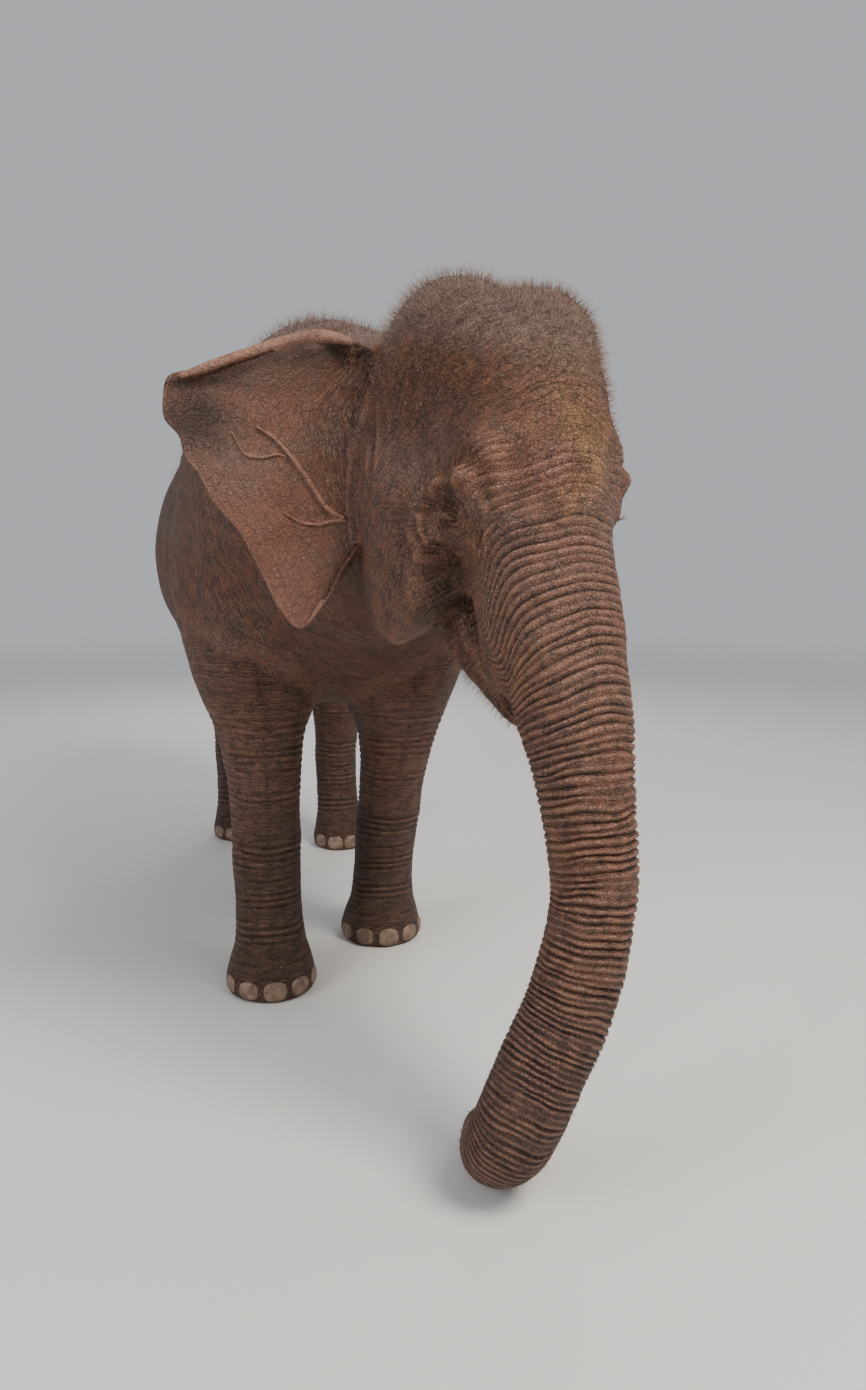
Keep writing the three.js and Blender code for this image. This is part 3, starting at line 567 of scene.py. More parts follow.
def fold_share(points, along, count, behind):
    """How much of the folds a point shows: all on the trunk, none past FOLD_REACH on the face, half behind."""
    on_trunk = mix(1 - step(trunk_field(points), 8, 42), 1, step(along, TRUNK_TOP - 100, TRUNK_TOP)[:, None])
    edge = read_table(FOLD_REACH, np.degrees((along - ARC_TOP) / ARC_RADIUS))
    on_trunk = np.maximum(on_trunk, 1 - step(np.degrees(aside(count)), edge - 6, edge + 6))
    return on_trunk * step(along, FOLD_START, FOLD_START + 50)[:, None] * mix(0.55, 1, step(behind, -0.9, 0.2))


def folded(points, along, count):
    """Lifts ridges, depth 0.28 hump, and sinks grooves, depth 1.5 (1 - hump), with hump = |sin(pi turn)|^0.55. The
    noise of each groove's own number fades it here and there. The rings waver along, and carry lumps."""
    at, left, out, ahead = crossing(climbing(along, count))
    turn = np.interp(along, places, turns)
    apart = read_table(FOLD_PITCH, along)
    shown = mix(0.25, 1.15, step(around_noise(np.round(turn) * GROOVE_APART, count, 120, 3), -0.55, 0.35))
    shown = mix(0.4 + 0.6 * shown, shown, step(along, 3480, 3700)[:, None])
    hump = np.abs(np.sin(np.pi * turn))[:, None] ** RIDGE_POWER
    height = read_table(FOLD_DEPTH, along) * (-(1 - hump) * shown * GROOVE_SHARE + RIDGE_SHARE * hump)
    waver = 6.5 * around_noise(along, count, (90, 90, 140), 4) + 2 * around_noise(along, count, (40, 40, 60), 5)
    waver = waver + 0.33 * apart * around_noise(turn * FOLD_APART, count, (75, 75, 36), 15)
    lumps = 2.2 * around_noise(along, count, (60, 60, 90), 6)
    lumps = lumps + 0.09 * apart * around_noise(turn * FOLD_APART, count, (26, 26, 30), 16)
    way = points - at
    way = unit(way - ahead * (way * ahead).sum(-1)[..., None])
    share = fold_share(points, along, count, (way * out).sum(-1))
    return points + way * ((height + lumps) * share)[..., None] + ahead * (waver * share)[..., None]


# %% [markdown]
# ## Single creases of the face
# Some creases are the same on every face of the kind: the bags under the eye, the fold the brow hangs over, the
# line from the pit under the eye to the corner of the mouth, the folds in front of the ear. Each is a short curve
# on one side of the head, and its mirror image on the other. Skin sinks along it and swells a little beside it. The
# knob at the end of the brow and the two bumps of the trunk's root are made the same way, as ridges.
#
# The barrel gets its own relief here: skin that hangs in soft upright waves over the ribs.

# %% Creases as curves on the head
CURVE_STEPS = 9  # points of a curve for each of its places
CREASES = [  # how deep, how wide, and the curve in millimetres from midway between the eyes; a ridge is below 0
    (-25, 22, [(224, 32, 88), (216, 46, 86)]),  # knob of the brow
    (-7, 24, [(40, 150, 150), (60, 176, 108), (40, 196, 60)]),  # bump of the trunk's root, and the valley beside it
    (5, 24, [(126, 108, 150), (129, 128, 96), (132, 139, 50)]),
    # bags under the eye
    (3, 8, [(268, -75, 3), (278, -76, -54), (252, -55, -93), (203, -79, -128), (173, -46, -106)]),
    (-9, 7, [(270, -72, -22), (264, -62, -60), (240, -46, -92), (196, -44, -112), (170, -44, -108)]),
    (5, 7, [(262, -90, -70), (232, -72, -108), (190, -62, -128), (160, -50, -124)]),
    # corner of the mouth
    (5, 8, [(214, -190, -250), (176, -130, -262), (130, -98, -256)]),
    (4, 8, [(206, -220, -292), (180, -160, -304), (140, -122, -300)]),
    (4, 8, [(214, -150, -212), (186, -110, -222), (150, -86, -218)]),
    # nest of the eye, and the fold under the brow
    (4, 6, [(246, -56, -22), (242, -40, -50), (222, -26, -66), (196, -14, -70)]),
    (14, 9, [(243, -38, 44), (240, -22, 50), (234, 0, 54), (222, 36, 52), (207, 60, 44), (191, 69, 20)]),
    (6, 8, [(191, 69, 31), (184, 70, -24), (178, 70, -65)]),
    # from the pit under the eye down the cheek
    (6, 9, [(203, -79, -128), (174, -86, -205), (170, -95, -250)]),
    (4, 9, [(290, -110, -80), (262, -100, -150), (220, -110, -215), (190, -120, -270)]),
    # in front of the ear
    (5, 9, [(255, -420, 290), (290, -345, 200), (306, -287, 98), (314, -250, 10), (316, -240, -70)]),
    (4, 8, [(240, -380, 330), (272, -310, 220), (290, -250, 110), (300, -215, 20)]),
    (5, 9, [(262, -470, 240), (296, -400, 150), (312, -330, 40), (318, -290, -60), (300, -270, -170)]),
]


def creased(points, way):
    """Sinks each crease: height = -deep bell(d) + deep / 2 bell(d - 2.2 wide), with d the distance from its curve."""
    near = in_head(points)
    near[..., 0] = np.abs(near[..., 0])
    height = np.zeros(points.shape[:-1])
    for deep, wide, curve in CREASES:
        far = np.full(height.shape, np.inf)
        for point in through(curve, np.linspace(0, 1, CURVE_STEPS * len(curve))):
            far = np.minimum(far, np.linalg.norm(near - point, axis=-1))
        height += 0.5 * deep * bell(far - 2.2 * wide, wide) - deep * bell(far, wide)
    return points + way * height[..., None]


def outward(points):
    """The way out of a sheet of rings: square to its rows and columns, and away from the middle of the ring."""
    way = unit(np.cross(np.gradient(points, axis=0), np.roll(points, -1, 1) - np.roll(points, 1, 1)))
    return way * np.sign(((points - points.mean(axis=1, keepdims=True)) * way).sum(-1, keepdims=True))


head_part = (body_rows > NECK_END - 250) & (body_rows < TRUNK_TOP)
FACE_WAYS = outward(body)
body[head_part] = creased(body[head_part], FACE_WAYS[head_part])
on_torso = step(body_rows, 300, 700)[:, None] * (1 - step(body_rows, NECK_END - 60, NECK_END + 120))[:, None]
hanging = 8 * noise(body, (340, 90, 420), 61) - 4 * crease(body, (360, 150, 520), 62, 0.5)
lumpy = 5 * noise(body, 130, 63) + 2 * noise(body, 60, 64)
body = body + FACE_WAYS * ((hanging + lumpy) * on_torso)[..., None]
print("creases and ridges on each side of the face:", len(CREASES))

# %% [markdown]
# ## The folds laid in
# Creases come first and folds after them, so that the rings of the trunk run over the brow's knob as they do in life.

# %% Folding the rows of the trunk
head_folds = body_rows >= FOLD_START
body[head_folds] = folded(body[head_folds], body_rows[head_folds], AROUND)
trunk = folded(trunk, trunk_rows, TRUNK_AROUND)
print("folded rows:", head_folds.sum() + len(trunk_rows))

# %% [markdown]
# ## Shells
# Each limb is a closed shell: rings joined by quads, and a fan to one point at each end. A closed shell has an
# inside, so shells can be united into one skin later.

# %% Closed shells from rings
def shell(rings, first, last, **marks):
    """Points, faces and marks of a closed shell. A ring may have half the points of the one before it. Marks are
    numbers on the rings."""
    points = np.concatenate([first[None], *[np.asarray(ring) for ring in rings], last[None]])
    starts = 1 + np.concatenate([[0], np.cumsum([len(ring) for ring in rings])])
    quads, threes = [], []
    for ring, start, following in zip(rings, starts, [*rings[1:], None]):
        count = len(ring)
        here = start + np.arange(count)
        beside = np.roll(here, -1)
        if following is None:
            threes.append(np.stack([here, beside, np.full(count, len(points) - 1)], -1))
        elif len(following) == count:
            quads.append(np.stack([here, beside, beside + count, here + count], -1))
        else:
            low = start + count + np.arange(count // 2)
            low_beside = np.roll(low, -1)
            even, odd, after = here[::2], here[1::2], beside[1::2]
            threes += [np.stack([even, odd, low], -1), np.stack([odd, low_beside, low], -1),
                       np.stack([odd, after, low_beside], -1)]
    count = len(rings[0])
    here = 1 + np.arange(count)
    threes.append(np.stack([np.roll(here, -1), here, np.zeros(count, int)], -1))
    quads, threes = np.concatenate(quads), np.concatenate(threes)
    triangles = np.concatenate([threes, quads[:, [0, 1, 2]], quads[:, [0, 2, 3]]])
    first, second, third = points[triangles].transpose(1, 0, 2)
    if (first * np.cross(second, third)).sum() < 0:  # six times the volume: below 0, the faces look inward
        quads, threes = quads[:, ::-1], threes[:, ::-1]
    flat = {name: np.concatenate([[rows[0][0]], *[np.ravel(row) for row in rows], [rows[-1][0]]])
            for name, rows in marks.items()}
    return {"points": points, "quads": quads, "threes": threes, "marks": flat}


tip_at, tip_left, tip_out, tip_ahead = (row[0] for row in crossing(np.array([LENGTH])))
print("trunk tip at", tip_at.round(), "opening", tip_ahead.round(2))

# %% [markdown]
# ## The end of the trunk
# An Asian elephant has one finger, on the front edge of the tip. The two nostrils open between it and the broad
# lower edge. Past the last fold the rings turn over the rim and run inward over a flat disc, and the nostrils are
# pits pressed into that disc, each a smooth well round its own middle.

# %% Rim, nostrils and finger
NOSTRIL_ASIDE, NOSTRIL_WIDE, NOSTRIL_DEEP = 20, 15, 42
FINGER_AT, FINGER_LONG = 40, 34
RIM_ROWS, RIM_ROWS_OVER, RIM_ROUND, RIM_HOLLOW = 14, 4, 9, 8


def tip_rings():
    """Rings over the rim and inward: (radius, height) goes from the last fold round a quarter turn to the middle."""
    around = circle(angles(TRUNK_AROUND), tip_out, tip_left)
    wide = trunk_radius(np.array([LENGTH]))[0] - RIM_ROUND
    rings = []
    for k in range(1, RIM_ROWS + 1):
        over = min(k / RIM_ROWS_OVER, 1) * math.pi / 2
        inward = max(k - RIM_ROWS_OVER, 0) / (RIM_ROWS - RIM_ROWS_OVER + 1)
        radius = (wide + RIM_ROUND * math.cos(over)) * (1 - inward)
        height = RIM_ROUND * math.sin(over) - RIM_HOLLOW * math.sin(inward * math.pi / 2)
        rings.append(tip_at + radius * around + height * tip_ahead)
    return np.array(rings)


def tip_shaped(points):
    """Pushes the nostrils in and draws the finger out: each by a smooth bell round its own middle."""
    away = points - tip_at
    aside, up, high = away @ tip_left, away @ tip_out, away @ tip_ahead
    finger = np.exp(-(((up - FINGER_AT) / 20) ** 2 + (aside / 22) ** 2)) * step(high, -60, 4)
    shaped = points + (FINGER_LONG * finger)[..., None] * (tip_ahead + 0.35 * tip_out)
    for side in (1, -1):
        far = np.sqrt(((aside - side * NOSTRIL_ASIDE) / NOSTRIL_WIDE) ** 2 + ((up + 4) / (NOSTRIL_WIDE + 3)) ** 2)
        well = (1 - step(far, 0.45, 1.15)) * step(high, -4, 0)
        lip = bell(far - 1.25, 0.3) * step(high, -4, 0)
        shaped = shaped + (lip * 2.5 - well * NOSTRIL_DEEP)[..., None] * tip_ahead
    return shaped


tip = tip_shaped(tip_rings())
trunk = tip_shaped(trunk)
print("rows over the rim of the trunk:", len(tip))

# %% [markdown]
# ## The shell of body, head and trunk
# All the rows go into one shell. Each point carries numbers for the hide: how far along the body it lies, how far
# round it, how strongly its skin is lined, and which fold of the trunk it is on.

# %% Body shell
FAN_LONG, TIP_ROW_APART = 900, 6  # how the rows of the fan and of the tip go on along the body
rump_end = find_surface(body_with_webs, *(p[0, :1] for p in rays(np.array([float(RUMP_MIDDLE)]), 4, 90)))[0]
BODY_RINGS = [*body, *trunk, *tip[:-1]]
all_rows = np.concatenate([body_rows - FAN_LONG * np.sin(np.radians(lean)), trunk_rows,
                           LENGTH + TIP_ROW_APART * np.arange(len(tip) - 1)])
on_head_top = step(all_rows, NECK_END - 250, NECK_END) * (1 - step(all_rows, FOLD_START - 60, FOLD_START + 40))
how_lined = mix(mix(0.25, 0.75, step(all_rows, -200, 900)), 0.5, on_head_top)


def on_rings(values):
    """Gives all the points of each ring of the body the value of its row."""
    return [np.full(len(ring), value) for ring, value in zip(BODY_RINGS, values)]


def round_from_front(ring):
    """How far round from the front each point of a ring is: angle times mean radius."""
    turn = np.minimum(angles(len(ring)), 2 * math.pi - angles(len(ring)))
    return turn * np.linalg.norm(ring - ring.mean(0), axis=1).mean()


BODY_SHELL = shell(BODY_RINGS, rump_end, tip[-1].mean(0), along=on_rings(all_rows), lined=on_rings(how_lined),
                   across=[round_from_front(ring) for ring in BODY_RINGS],
                   fold=on_rings(np.interp(all_rows, places, turns)))
print("body shell: %d points" % len(BODY_SHELL["points"]))

# %% [markdown]
# ## Legs
# Elephants stand on pillars. The elbow, wrist and heel hardly show, and below them the foot widens to a round pad.
# The skin hangs in level wrinkles like a loose stocking. Each leg is its own shell up into the body, and lies a
# little outside its ellipses near the body, by the same web that lifts the body there. The edge of the sole is a
# quarter round.

# %% Leg shells
LEG_AROUND, LEG_FOLD, ROWS_IN_LEG_FOLD = 36, 24, 3
LEG_RADIUS = 130  # a usual radius, for the place round the leg
SOLE_EDGE, SOLE_ROWS, SOLE_RADIUS = 16, 3, 150


def leg_wrinkles(points, way, heights):
    """Level grooves, 5.5 (1 - |sin(pi turn)|^0.5) deep, that waver up and down and fade here and there."""
    level = heights[:, None]
    share = step(level, 50, 150) * (1 - step(level, 900, 1020))
    points[..., 2] += share * (11 * around_noise(heights, LEG_AROUND, (110, 110, 170), 11)
                               + 4 * around_noise(heights, LEG_AROUND, (45, 45, 70), 14))
    turn = heights / LEG_FOLD
    shown = step(around_noise(np.round(turn) * 90, LEG_AROUND, 110, 12), -0.45, 0.3)
    groove = (1 - np.abs(np.sin(np.pi * turn))[:, None] ** 0.5) * shown
    lumps = 3 * around_noise(heights, LEG_AROUND, (110, 110, 90), 13) * step(level, 30, 120)
    return points + way * ((1.0 - 5.5 * groove) * share + lumps)[..., None]


def sole_rings(ring, middle):
    """Rings from inside the sole over its rounded edge, up to the first ring of the leg."""
    edge = []
    for turn_in in np.arange(SOLE_ROWS) / SOLE_ROWS * math.pi / 2:
        share = 1 - (1 - math.sin(turn_in)) * SOLE_EDGE / SOLE_RADIUS
        level = np.full((len(ring), 1), SOLE_EDGE * (1 - math.cos(turn_in)))
        edge.append(np.concatenate([middle[:2] + (ring[:, :2] - middle[:2]) * share, level], 1))
    return [edge[0] * [0.5, 0.5, 0] + middle * [0.5, 0.5, 0], *edge]


def leg_shell(side, rows):
    """Ellipses every few millimetres from the sole up into the body, lifted where the leg meets it."""
    heights = np.concatenate([[SOLE_EDGE], np.arange(LEG_FOLD, 1001, LEG_FOLD / ROWS_IN_LEG_FOLD),
                              np.arange(1020, rows[-1][0] - 60, 20)])
    x, y, wide, deep = read_table(rows, heights).T
    angle = even_turns(LEG_AROUND)
    middle = np.stack([side * x, y, heights], -1)[:, None, :]
    points = middle + np.stack([np.sin(angle) * wide[:, None], -np.cos(angle) * deep[:, None],
                                np.zeros((len(heights), LEG_AROUND))], -1)
    way = unit(points - middle)
    near = heights > 800
    for _ in range(4):
        b = leg_field(points[near], side, rows)
        points[near] += way[near] * (overlap(flesh(points[near]), b, LEG_WEB) - b)[..., None]
    points = leg_wrinkles(points, way, heights)
    sole = middle[0, 0] * [1, 1, 0]
    rings = [*sole_rings(points[0], sole), *points]
    return shell(rings, sole, middle[-1, 0] + [0, 0, 5], along=[ring[:, 2] for ring in rings],
                 across=[np.minimum(angle, 2 * math.pi - angle) * LEG_RADIUS] * len(rings),
                 lined=[np.ones(LEG_AROUND)] * len(rings))


LEG_SHELLS = [leg_shell(side, rows) for side, rows in LEGS.values()]
print("leg shells:", [len(part["points"]) for part in LEG_SHELLS])

# %% [markdown]
# ## Ropes
# A tail is a rope that thins toward its end, and a vein under the skin is a thin rope half sunk in it. Both are made
# by one function: circles of a given radius, set square to a smooth curve.

# %% A rope along a curve
RING_APART, NO_RINGS_BELOW = 3.6, 15  # the small rings in the skin of the tail


def rope_shell(points, radii, rows, around, wrinkle, lined=1.0, ear=0.0):
    """A round rope along a smooth curve: middle + radius (left cos + over sin), with small rings in its skin."""
    share = np.linspace(0, 1, rows)
    middle = through(points, share)
    radius = read_table(np.column_stack([np.linspace(0, 1, len(radii)), radii]), share)[:, 0]
    ahead = unit(np.gradient(middle, axis=0))
    side = np.array([1.0, 0, 0]) if abs(ahead[0, 0]) < 0.6 else np.array([0, 1.0, 0])
    left = unit(side - ahead * (ahead @ side)[:, None])
    turn = even_turns(around)
    way = circle(turn, left[:, None], np.cross(ahead, left)[:, None])
    run = run_along(middle)
    ringed = wrinkle * np.sin(run / RING_APART) * (radius > NO_RINGS_BELOW)
    rings = middle[:, None] + way * (radius + ringed)[:, None, None]
    rings = rings + way * (3 * noise(rings, 40, 33) * (radius / 60)[:, None])[..., None]
    return shell(list(rings), middle[0] - 4 * ahead[0], middle[-1] + radius[-1] * ahead[-1],
                 along=np.repeat(run[:, None], around, 1), lined=np.full((rows, around), lined),
                 across=np.abs(turn - math.pi)[None] * radius[:, None],
                 ear=np.ones((rows, around)) * np.reshape(ear, (-1, 1)))


print("the small rings of a rope are %.1f mm apart" % (RING_APART * 2 * math.pi))

# %% [markdown]
# ## Ears
# The ear of an Asian elephant is a sheet of skin over gristle, 3 cm thick at its root and 1.3 cm at the edge. It is
# made as one sheet of points with a front and a back face, both set off from it along its own slope. The edge is
# drawn by places out from the root and up from the eyes.

# %% The sheet of an ear
EAR_EDGE = [
    (0, 420), (60, 446), (120, 452), (190, 440), (255, 420), (320, 392), (398, 356), (478, 336), (494, 284),
    (492, 232), (458, 190), (446, 140), (414, 100), (384, 36), (318, -45), (264, -148), (218, -240),
    (168, -290), (112, -232), (62, -140), (20, -82),
]
EAR_ROOT = (292, -352)
UP = np.array([0, 0, 1.0])


def ear_sheet(side, spread, roll, belly, v, u):
    """The middle sheet: u goes from the root to the edge, v from the top round to the lobe. Returns the points, the
    way the sheet faces and the places on the flat ear."""
    angle = math.radians(spread)
    out = unit((side * math.sin(angle) * HEAD_LEFT - math.cos(angle) * HEAD_AHEAD) * [1, 1, 0])
    front = np.cross(out, UP) * -side
    base = on_head(side * EAR_ROOT[0], EAR_ROOT[1], 0)
    base[2] = HEAD_AT[2]
    edge = through([(x, z, 0) for x, z in EAR_EDGE], v.ravel())[:, :2].reshape(*v.shape, 2)
    inner = np.stack([np.full_like(v, -46), mix(400, -60, v)], -1)
    flat = mix(inner, edge, u[..., None])
    top = 1 - step(v, 0.1, 0.36)
    wide = step(v, 0, 0.12) * (1 - step(v, 0.88, 1))
    bulge = belly * wide * np.sin(np.pi * np.minimum(u * 1.3, 1)) - 24 * step(u, 0.75, 1) * (1 - top)
    hollow = 0.3 * np.sin(np.pi * np.clip((u - 0.4) / 0.42, 0, 1))
    rim = top * step(v, 0.04, 0.18) * np.sin(np.pi * np.minimum(2.8 * v, 1)) * roll * (step(u, 0.7, 1) - hollow)
    lift = bulge + rim - 34 * step(v, 0.72, 0.85) * u
    return base + flat[..., :1] * out + flat[..., 1:] * UP + lift[..., None] * front, front, flat


print("places round the edge of an ear:", len(EAR_EDGE))

# %% [markdown]
# ## Veins and the band of the rim
# A raised vein and softer folds run over the face of the ear, and a thick band runs under its upper rim. Each is a
# rope laid on the face that shows, along places on the flat ear. The band throws a shadow below it.

# %% Ropes on an ear
RIDGES = [  # half widths, and places out from the root and up from the eyes
    ([2.5, 4, 5.5, 6.5, 7, 5], [(268, 218), (225, 190), (180, 140), (130, 70), (90, 12), (40, -14)]),
    ([2, 3.5, 4.5, 5, 4], [(205, 2), (160, -22), (110, -26), (70, -16), (40, -18)]),
    ([1.5, 3, 4, 3, 1.5], [(330, 200), (300, 150), (262, 142), (220, 150), (185, 142)]),
    ([8, 15, 17, 16, 14, 13, 12, 7],
     [(20, 424), (80, 436), (140, 437), (200, 425), (262, 404), (330, 380), (400, 352), (462, 330)]),
]
NEAREST, VEIN_ROWS, VEIN_AROUND = 6, 60, 10


def ear_ropes(face, flat, pink, front, proud):
    """Ropes on a face of the ear. Each place lies at the mean of the nearest points of the face, weighed by
    1 / (distance squared + 9), and is smoothed along the rope."""
    made = []
    for radii, line in RIDGES:
        spots = through([(*place, 0) for place in line], np.linspace(0, 1, VEIN_ROWS))[:, :2]
        far = ((flat.reshape(-1, 2)[None] - spots[:, None]) ** 2).sum(-1)
        near = np.argsort(far, axis=1)[:, :NEAREST]
        weight = 1 / (np.take_along_axis(far, near, 1) + 9.0)
        weight /= weight.sum(1, keepdims=True)
        on_face = (face.reshape(-1, 3)[near] * weight[..., None]).sum(1)
        share = (pink.ravel()[near] * weight).sum(1).clip(0.2, 0.55)
        for _ in range(6):
            on_face[1:-1] = (on_face[:-2] + on_face[2:] + 2 * on_face[1:-1]) / 4
        line = on_face[::3] - proud * radii[2] * front
        made.append(rope_shell(line, radii, VEIN_ROWS, VEIN_AROUND, 0.0, 0.0, share))
    return made


print("ropes on each ear:", len(RIDGES))

# %% [markdown]
# ## Both ears
# The right ear stands out to the side, the left lies back along the neck. Both are rough with small folds at the
# root and lose their pigment toward the edge. Painted shade darkens the cup under the end of the upper flap, and a
# painted shadow lies under the band of the rim.

# %% Ear shells
EAR_THICK = 15, 6.5  # half the thickness, at the root and at the edge
EAR_LONG, EAR_ROUND = 520, 900  # for the places along and across
RIM_SHADOW = [0, 80, 140, 200, 262, 330, 400], [388, 402, 404, 392, 371, 346, 316]
# side, spread, roll, belly, rows, columns, and how far the ridges stand out
EARS = {"right": (-1, 66, 74, 26, 92, 54, 0.6), "left": (1, 30, 50, 26, 64, 32, 0.1)}


def ear_shell(side, spread, roll, belly, rows, columns, proud):
    """Front and back face of the sheet, joined round its edge; each row of points is one closed ring."""
    v = np.broadcast_to(np.linspace(0, 1, rows)[:, None], (rows, columns))
    u = np.broadcast_to(np.linspace(0, 1, columns) ** 0.85, (rows, columns))
    sheet, front, flat = ear_sheet(side, spread, roll, belly, v, u)
    square = unit(np.cross(np.gradient(sheet, axis=1), np.gradient(sheet, axis=0)) * side, 1e-6)
    way = unit(square * step(v, 0.04, 0.16)[..., None] + 0.5 * front)
    thick = mix(*EAR_THICK, step(u, 0, 0.9))
    root_folds = np.sin(flat[..., 0] / 7 + 2.2 * noise(sheet, 90, 21)) * (1 - step(u, 0.1, 0.34)) * step(v, 0.1, 0.3)
    ripples = noise(sheet, (70, 70, 110), 22) * 5 * step(u, 0.2, 0.5) + noise(sheet, 34, 23) * 1.3
    lifted = root_folds * 3.5 + ripples
    faces = [sheet + way * (thick + lifted)[..., None], sheet + way * (lifted - thick)[..., None]]
    rings = np.concatenate([faces[0], faces[1][:, ::-1]], 1)
    marks = np.concatenate([u, u[:, ::-1]], 1)
    near_root = 1 - step(marks, 0.12, 0.5)
    place = np.concatenate([flat, flat[:, ::-1]], 1)
    lobe = 1 - step(place[..., 1], -100, 230)
    # painted shade in the cup under the end of the upper flap, and a painted shadow under the band of the rim
    cup = bell(place[..., 0] - 420, 90) * bell(place[..., 1] - 235, 80) * 0.95
    painted_rim_shadow = bell(place[..., 1] - np.interp(place[..., 0], *RIM_SHADOW), 22) * 0.75
    pink = np.maximum(marks * mix(0.35, 1, lobe), 0.12 * (marks > 0.02))
    sheet_shell = shell(list(rings), rings[0].mean(0), rings[-1].mean(0), ear=pink, along=marks * EAR_LONG,
                        across=np.repeat(v[:, :1] * EAR_ROUND, 2 * columns, 1), lined=0.3 + 0.9 * near_root,
                        dim=np.maximum(cup, painted_rim_shadow) * step(marks, 0.1, 0.3))
    return [sheet_shell, *ear_ropes(faces[1], flat, pink[:, :columns], front, proud)]


EAR_SHELLS = [part for ear in EARS.values() for part in ear_shell(*ear)]
print("ear shells:", [len(part["points"]) for part in EAR_SHELLS])

# %% [markdown]
# ## Lower jaw and tail
# The lower jaw is short and runs to a pointed lip. The lip is a soft roll along each side of the mouth. The tail
# is a rope of flesh, thick at the root, and ends in a thin core that the long hairs grow from.

# %% Jaw and tail shells
JAW = [[-190, -270, 114, 104], [-135, -348, 110, 92], [-78, -408, 90, 74], [-22, -452, 64, 54], [30, -492, 42, 34],
       [68, -522, 20, 15]]
JAW_ROWS, JAW_AROUND, LIP_ANGLE, LIP_WIDE = 44, 40, 33.5, 13
JAW_UP, JAW_AHEAD = 0.64 * HEAD_AHEAD + 0.77 * HEAD_UP, 0.77 * HEAD_AHEAD - 0.64 * HEAD_UP
TAIL = np.array([(0, 1380, 1790), (0, 1490, 1740), (4, 1545, 1600), (10, 1570, 1400), (22, 1572, 1180),
                 (32, 1560, 960), (36, 1556, 780), (36, 1554, 620)], float)
TAIL_RADII = [62, 58, 50, 43, 37, 32, 28, 25, 22, 20, 18, 17, 14, 7]
TAIL_ROWS, TAIL_AROUND = 110, 20


def jaw_shell():
    """Ellipses across the jaw; a bell of height on each side makes the lip: bell(angle - lip)."""
    key = np.linspace(0, len(JAW) - 1, JAW_ROWS)
    y, z, wide, deep = read_table([[i, *row] for i, row in enumerate(JAW)], key).T
    middle = on_head(np.zeros(JAW_ROWS), y, z)
    turn = even_turns(JAW_AROUND)
    ring = circle(turn, HEAD_LEFT * wide[:, None, None], JAW_UP * deep[:, None, None])
    from_lip = np.minimum(*[np.abs(np.degrees(turn) - lip) for lip in (LIP_ANGLE, 180 - LIP_ANGLE)])
    rise = bell(from_lip, LIP_WIDE) * read_table([[0, 17], [3, 15], [5, 8]], key)
    points = middle[:, None] + ring
    lines = 1.6 * np.sin(points @ HEAD_LEFT / 5 + 2 * noise(points, 50, 31)) + 3 * noise(points, 45, 32)
    points = points + unit(ring) * (rise + lines)[..., None]
    return shell(list(points), middle[0], middle[-1] + 12 * JAW_AHEAD,
                 along=np.repeat(key[:, None] * 90, JAW_AROUND, 1), lined=np.ones((JAW_ROWS, JAW_AROUND)),
                 across=np.abs(turn - math.pi)[None] * wide[:, None])


JAW_SHELL = jaw_shell()
TAIL_SHELL = rope_shell(TAIL, TAIL_RADII, TAIL_ROWS, TAIL_AROUND, 1.2)
print("jaw %d points, tail %d points" % (len(JAW_SHELL["points"]), len(TAIL_SHELL["points"])))

# %% [markdown]
# ## The skin round the eyes
# An elephant's eye is small and lies in a nest of folds. The lids are thick and hold it half shut. A disc of finer
# skin covers each eye: its rings are almonds round the opening and widen to circles, so the folds run round the
# eye. Inside the opening the disc turns in and makes a cup for the eyeball.

# %% Lids and the folds round them
EYE_RADIUS, EYE_SINK = 21, 14
LID_LONG, LID_HIGH, LID_LOW, LID_THICK = 24, 7, 5, 4.5
LID_FOLDS = [  # how far out from the slit, how wide, how deep, and whether over (1) or under it (-1)
    (8, 2.8, 4.0, 1), (19, 3.8, 3.5, 1), (9, 3.0, 2.5, -1), (23, 4.0, 3.0, -1)]
CUP = [(0.97, EYE_RADIUS - 4), (0.9, EYE_RADIUS - 9), (0.6, 6)]  # how wide, by the slit, and how far out
DISC_WIDE, DISC_ROWS, DISC_AROUND = 62, 24, 52
EYE_TILT = math.cos(math.radians(13)), math.sin(math.radians(13))  # the slit falls toward the trunk
EYES = {}


def eye_axes(side):
    """The middle of the eyeball and the ways out, ahead and up from it."""
    axes = np.array([HEAD_LEFT, HEAD_AHEAD, HEAD_UP])
    out, ahead = unit(np.array([[side, 0.22, -0.05], [-side * 0.22, 1, -0.12]]) @ axes)
    over = np.cross(out, ahead) * side
    ahead, over = ahead * EYE_TILT[0] - over * EYE_TILT[1], over * EYE_TILT[0] + ahead * EYE_TILT[1]
    inside = on_head(side * 100, -14, 0)
    at = find_surface(flesh, inside[None], out[None], 60)[0] - EYE_SINK * out
    return at, out, ahead, unit(over)


def slit(turn, high):
    """How far out the edge of the lid is at each angle: an ellipse, 1 / |(cos / long, sin / high)|."""
    return 1 / np.sqrt((np.cos(turn) / LID_LONG) ** 2 + (np.sin(turn) / high) ** 2)


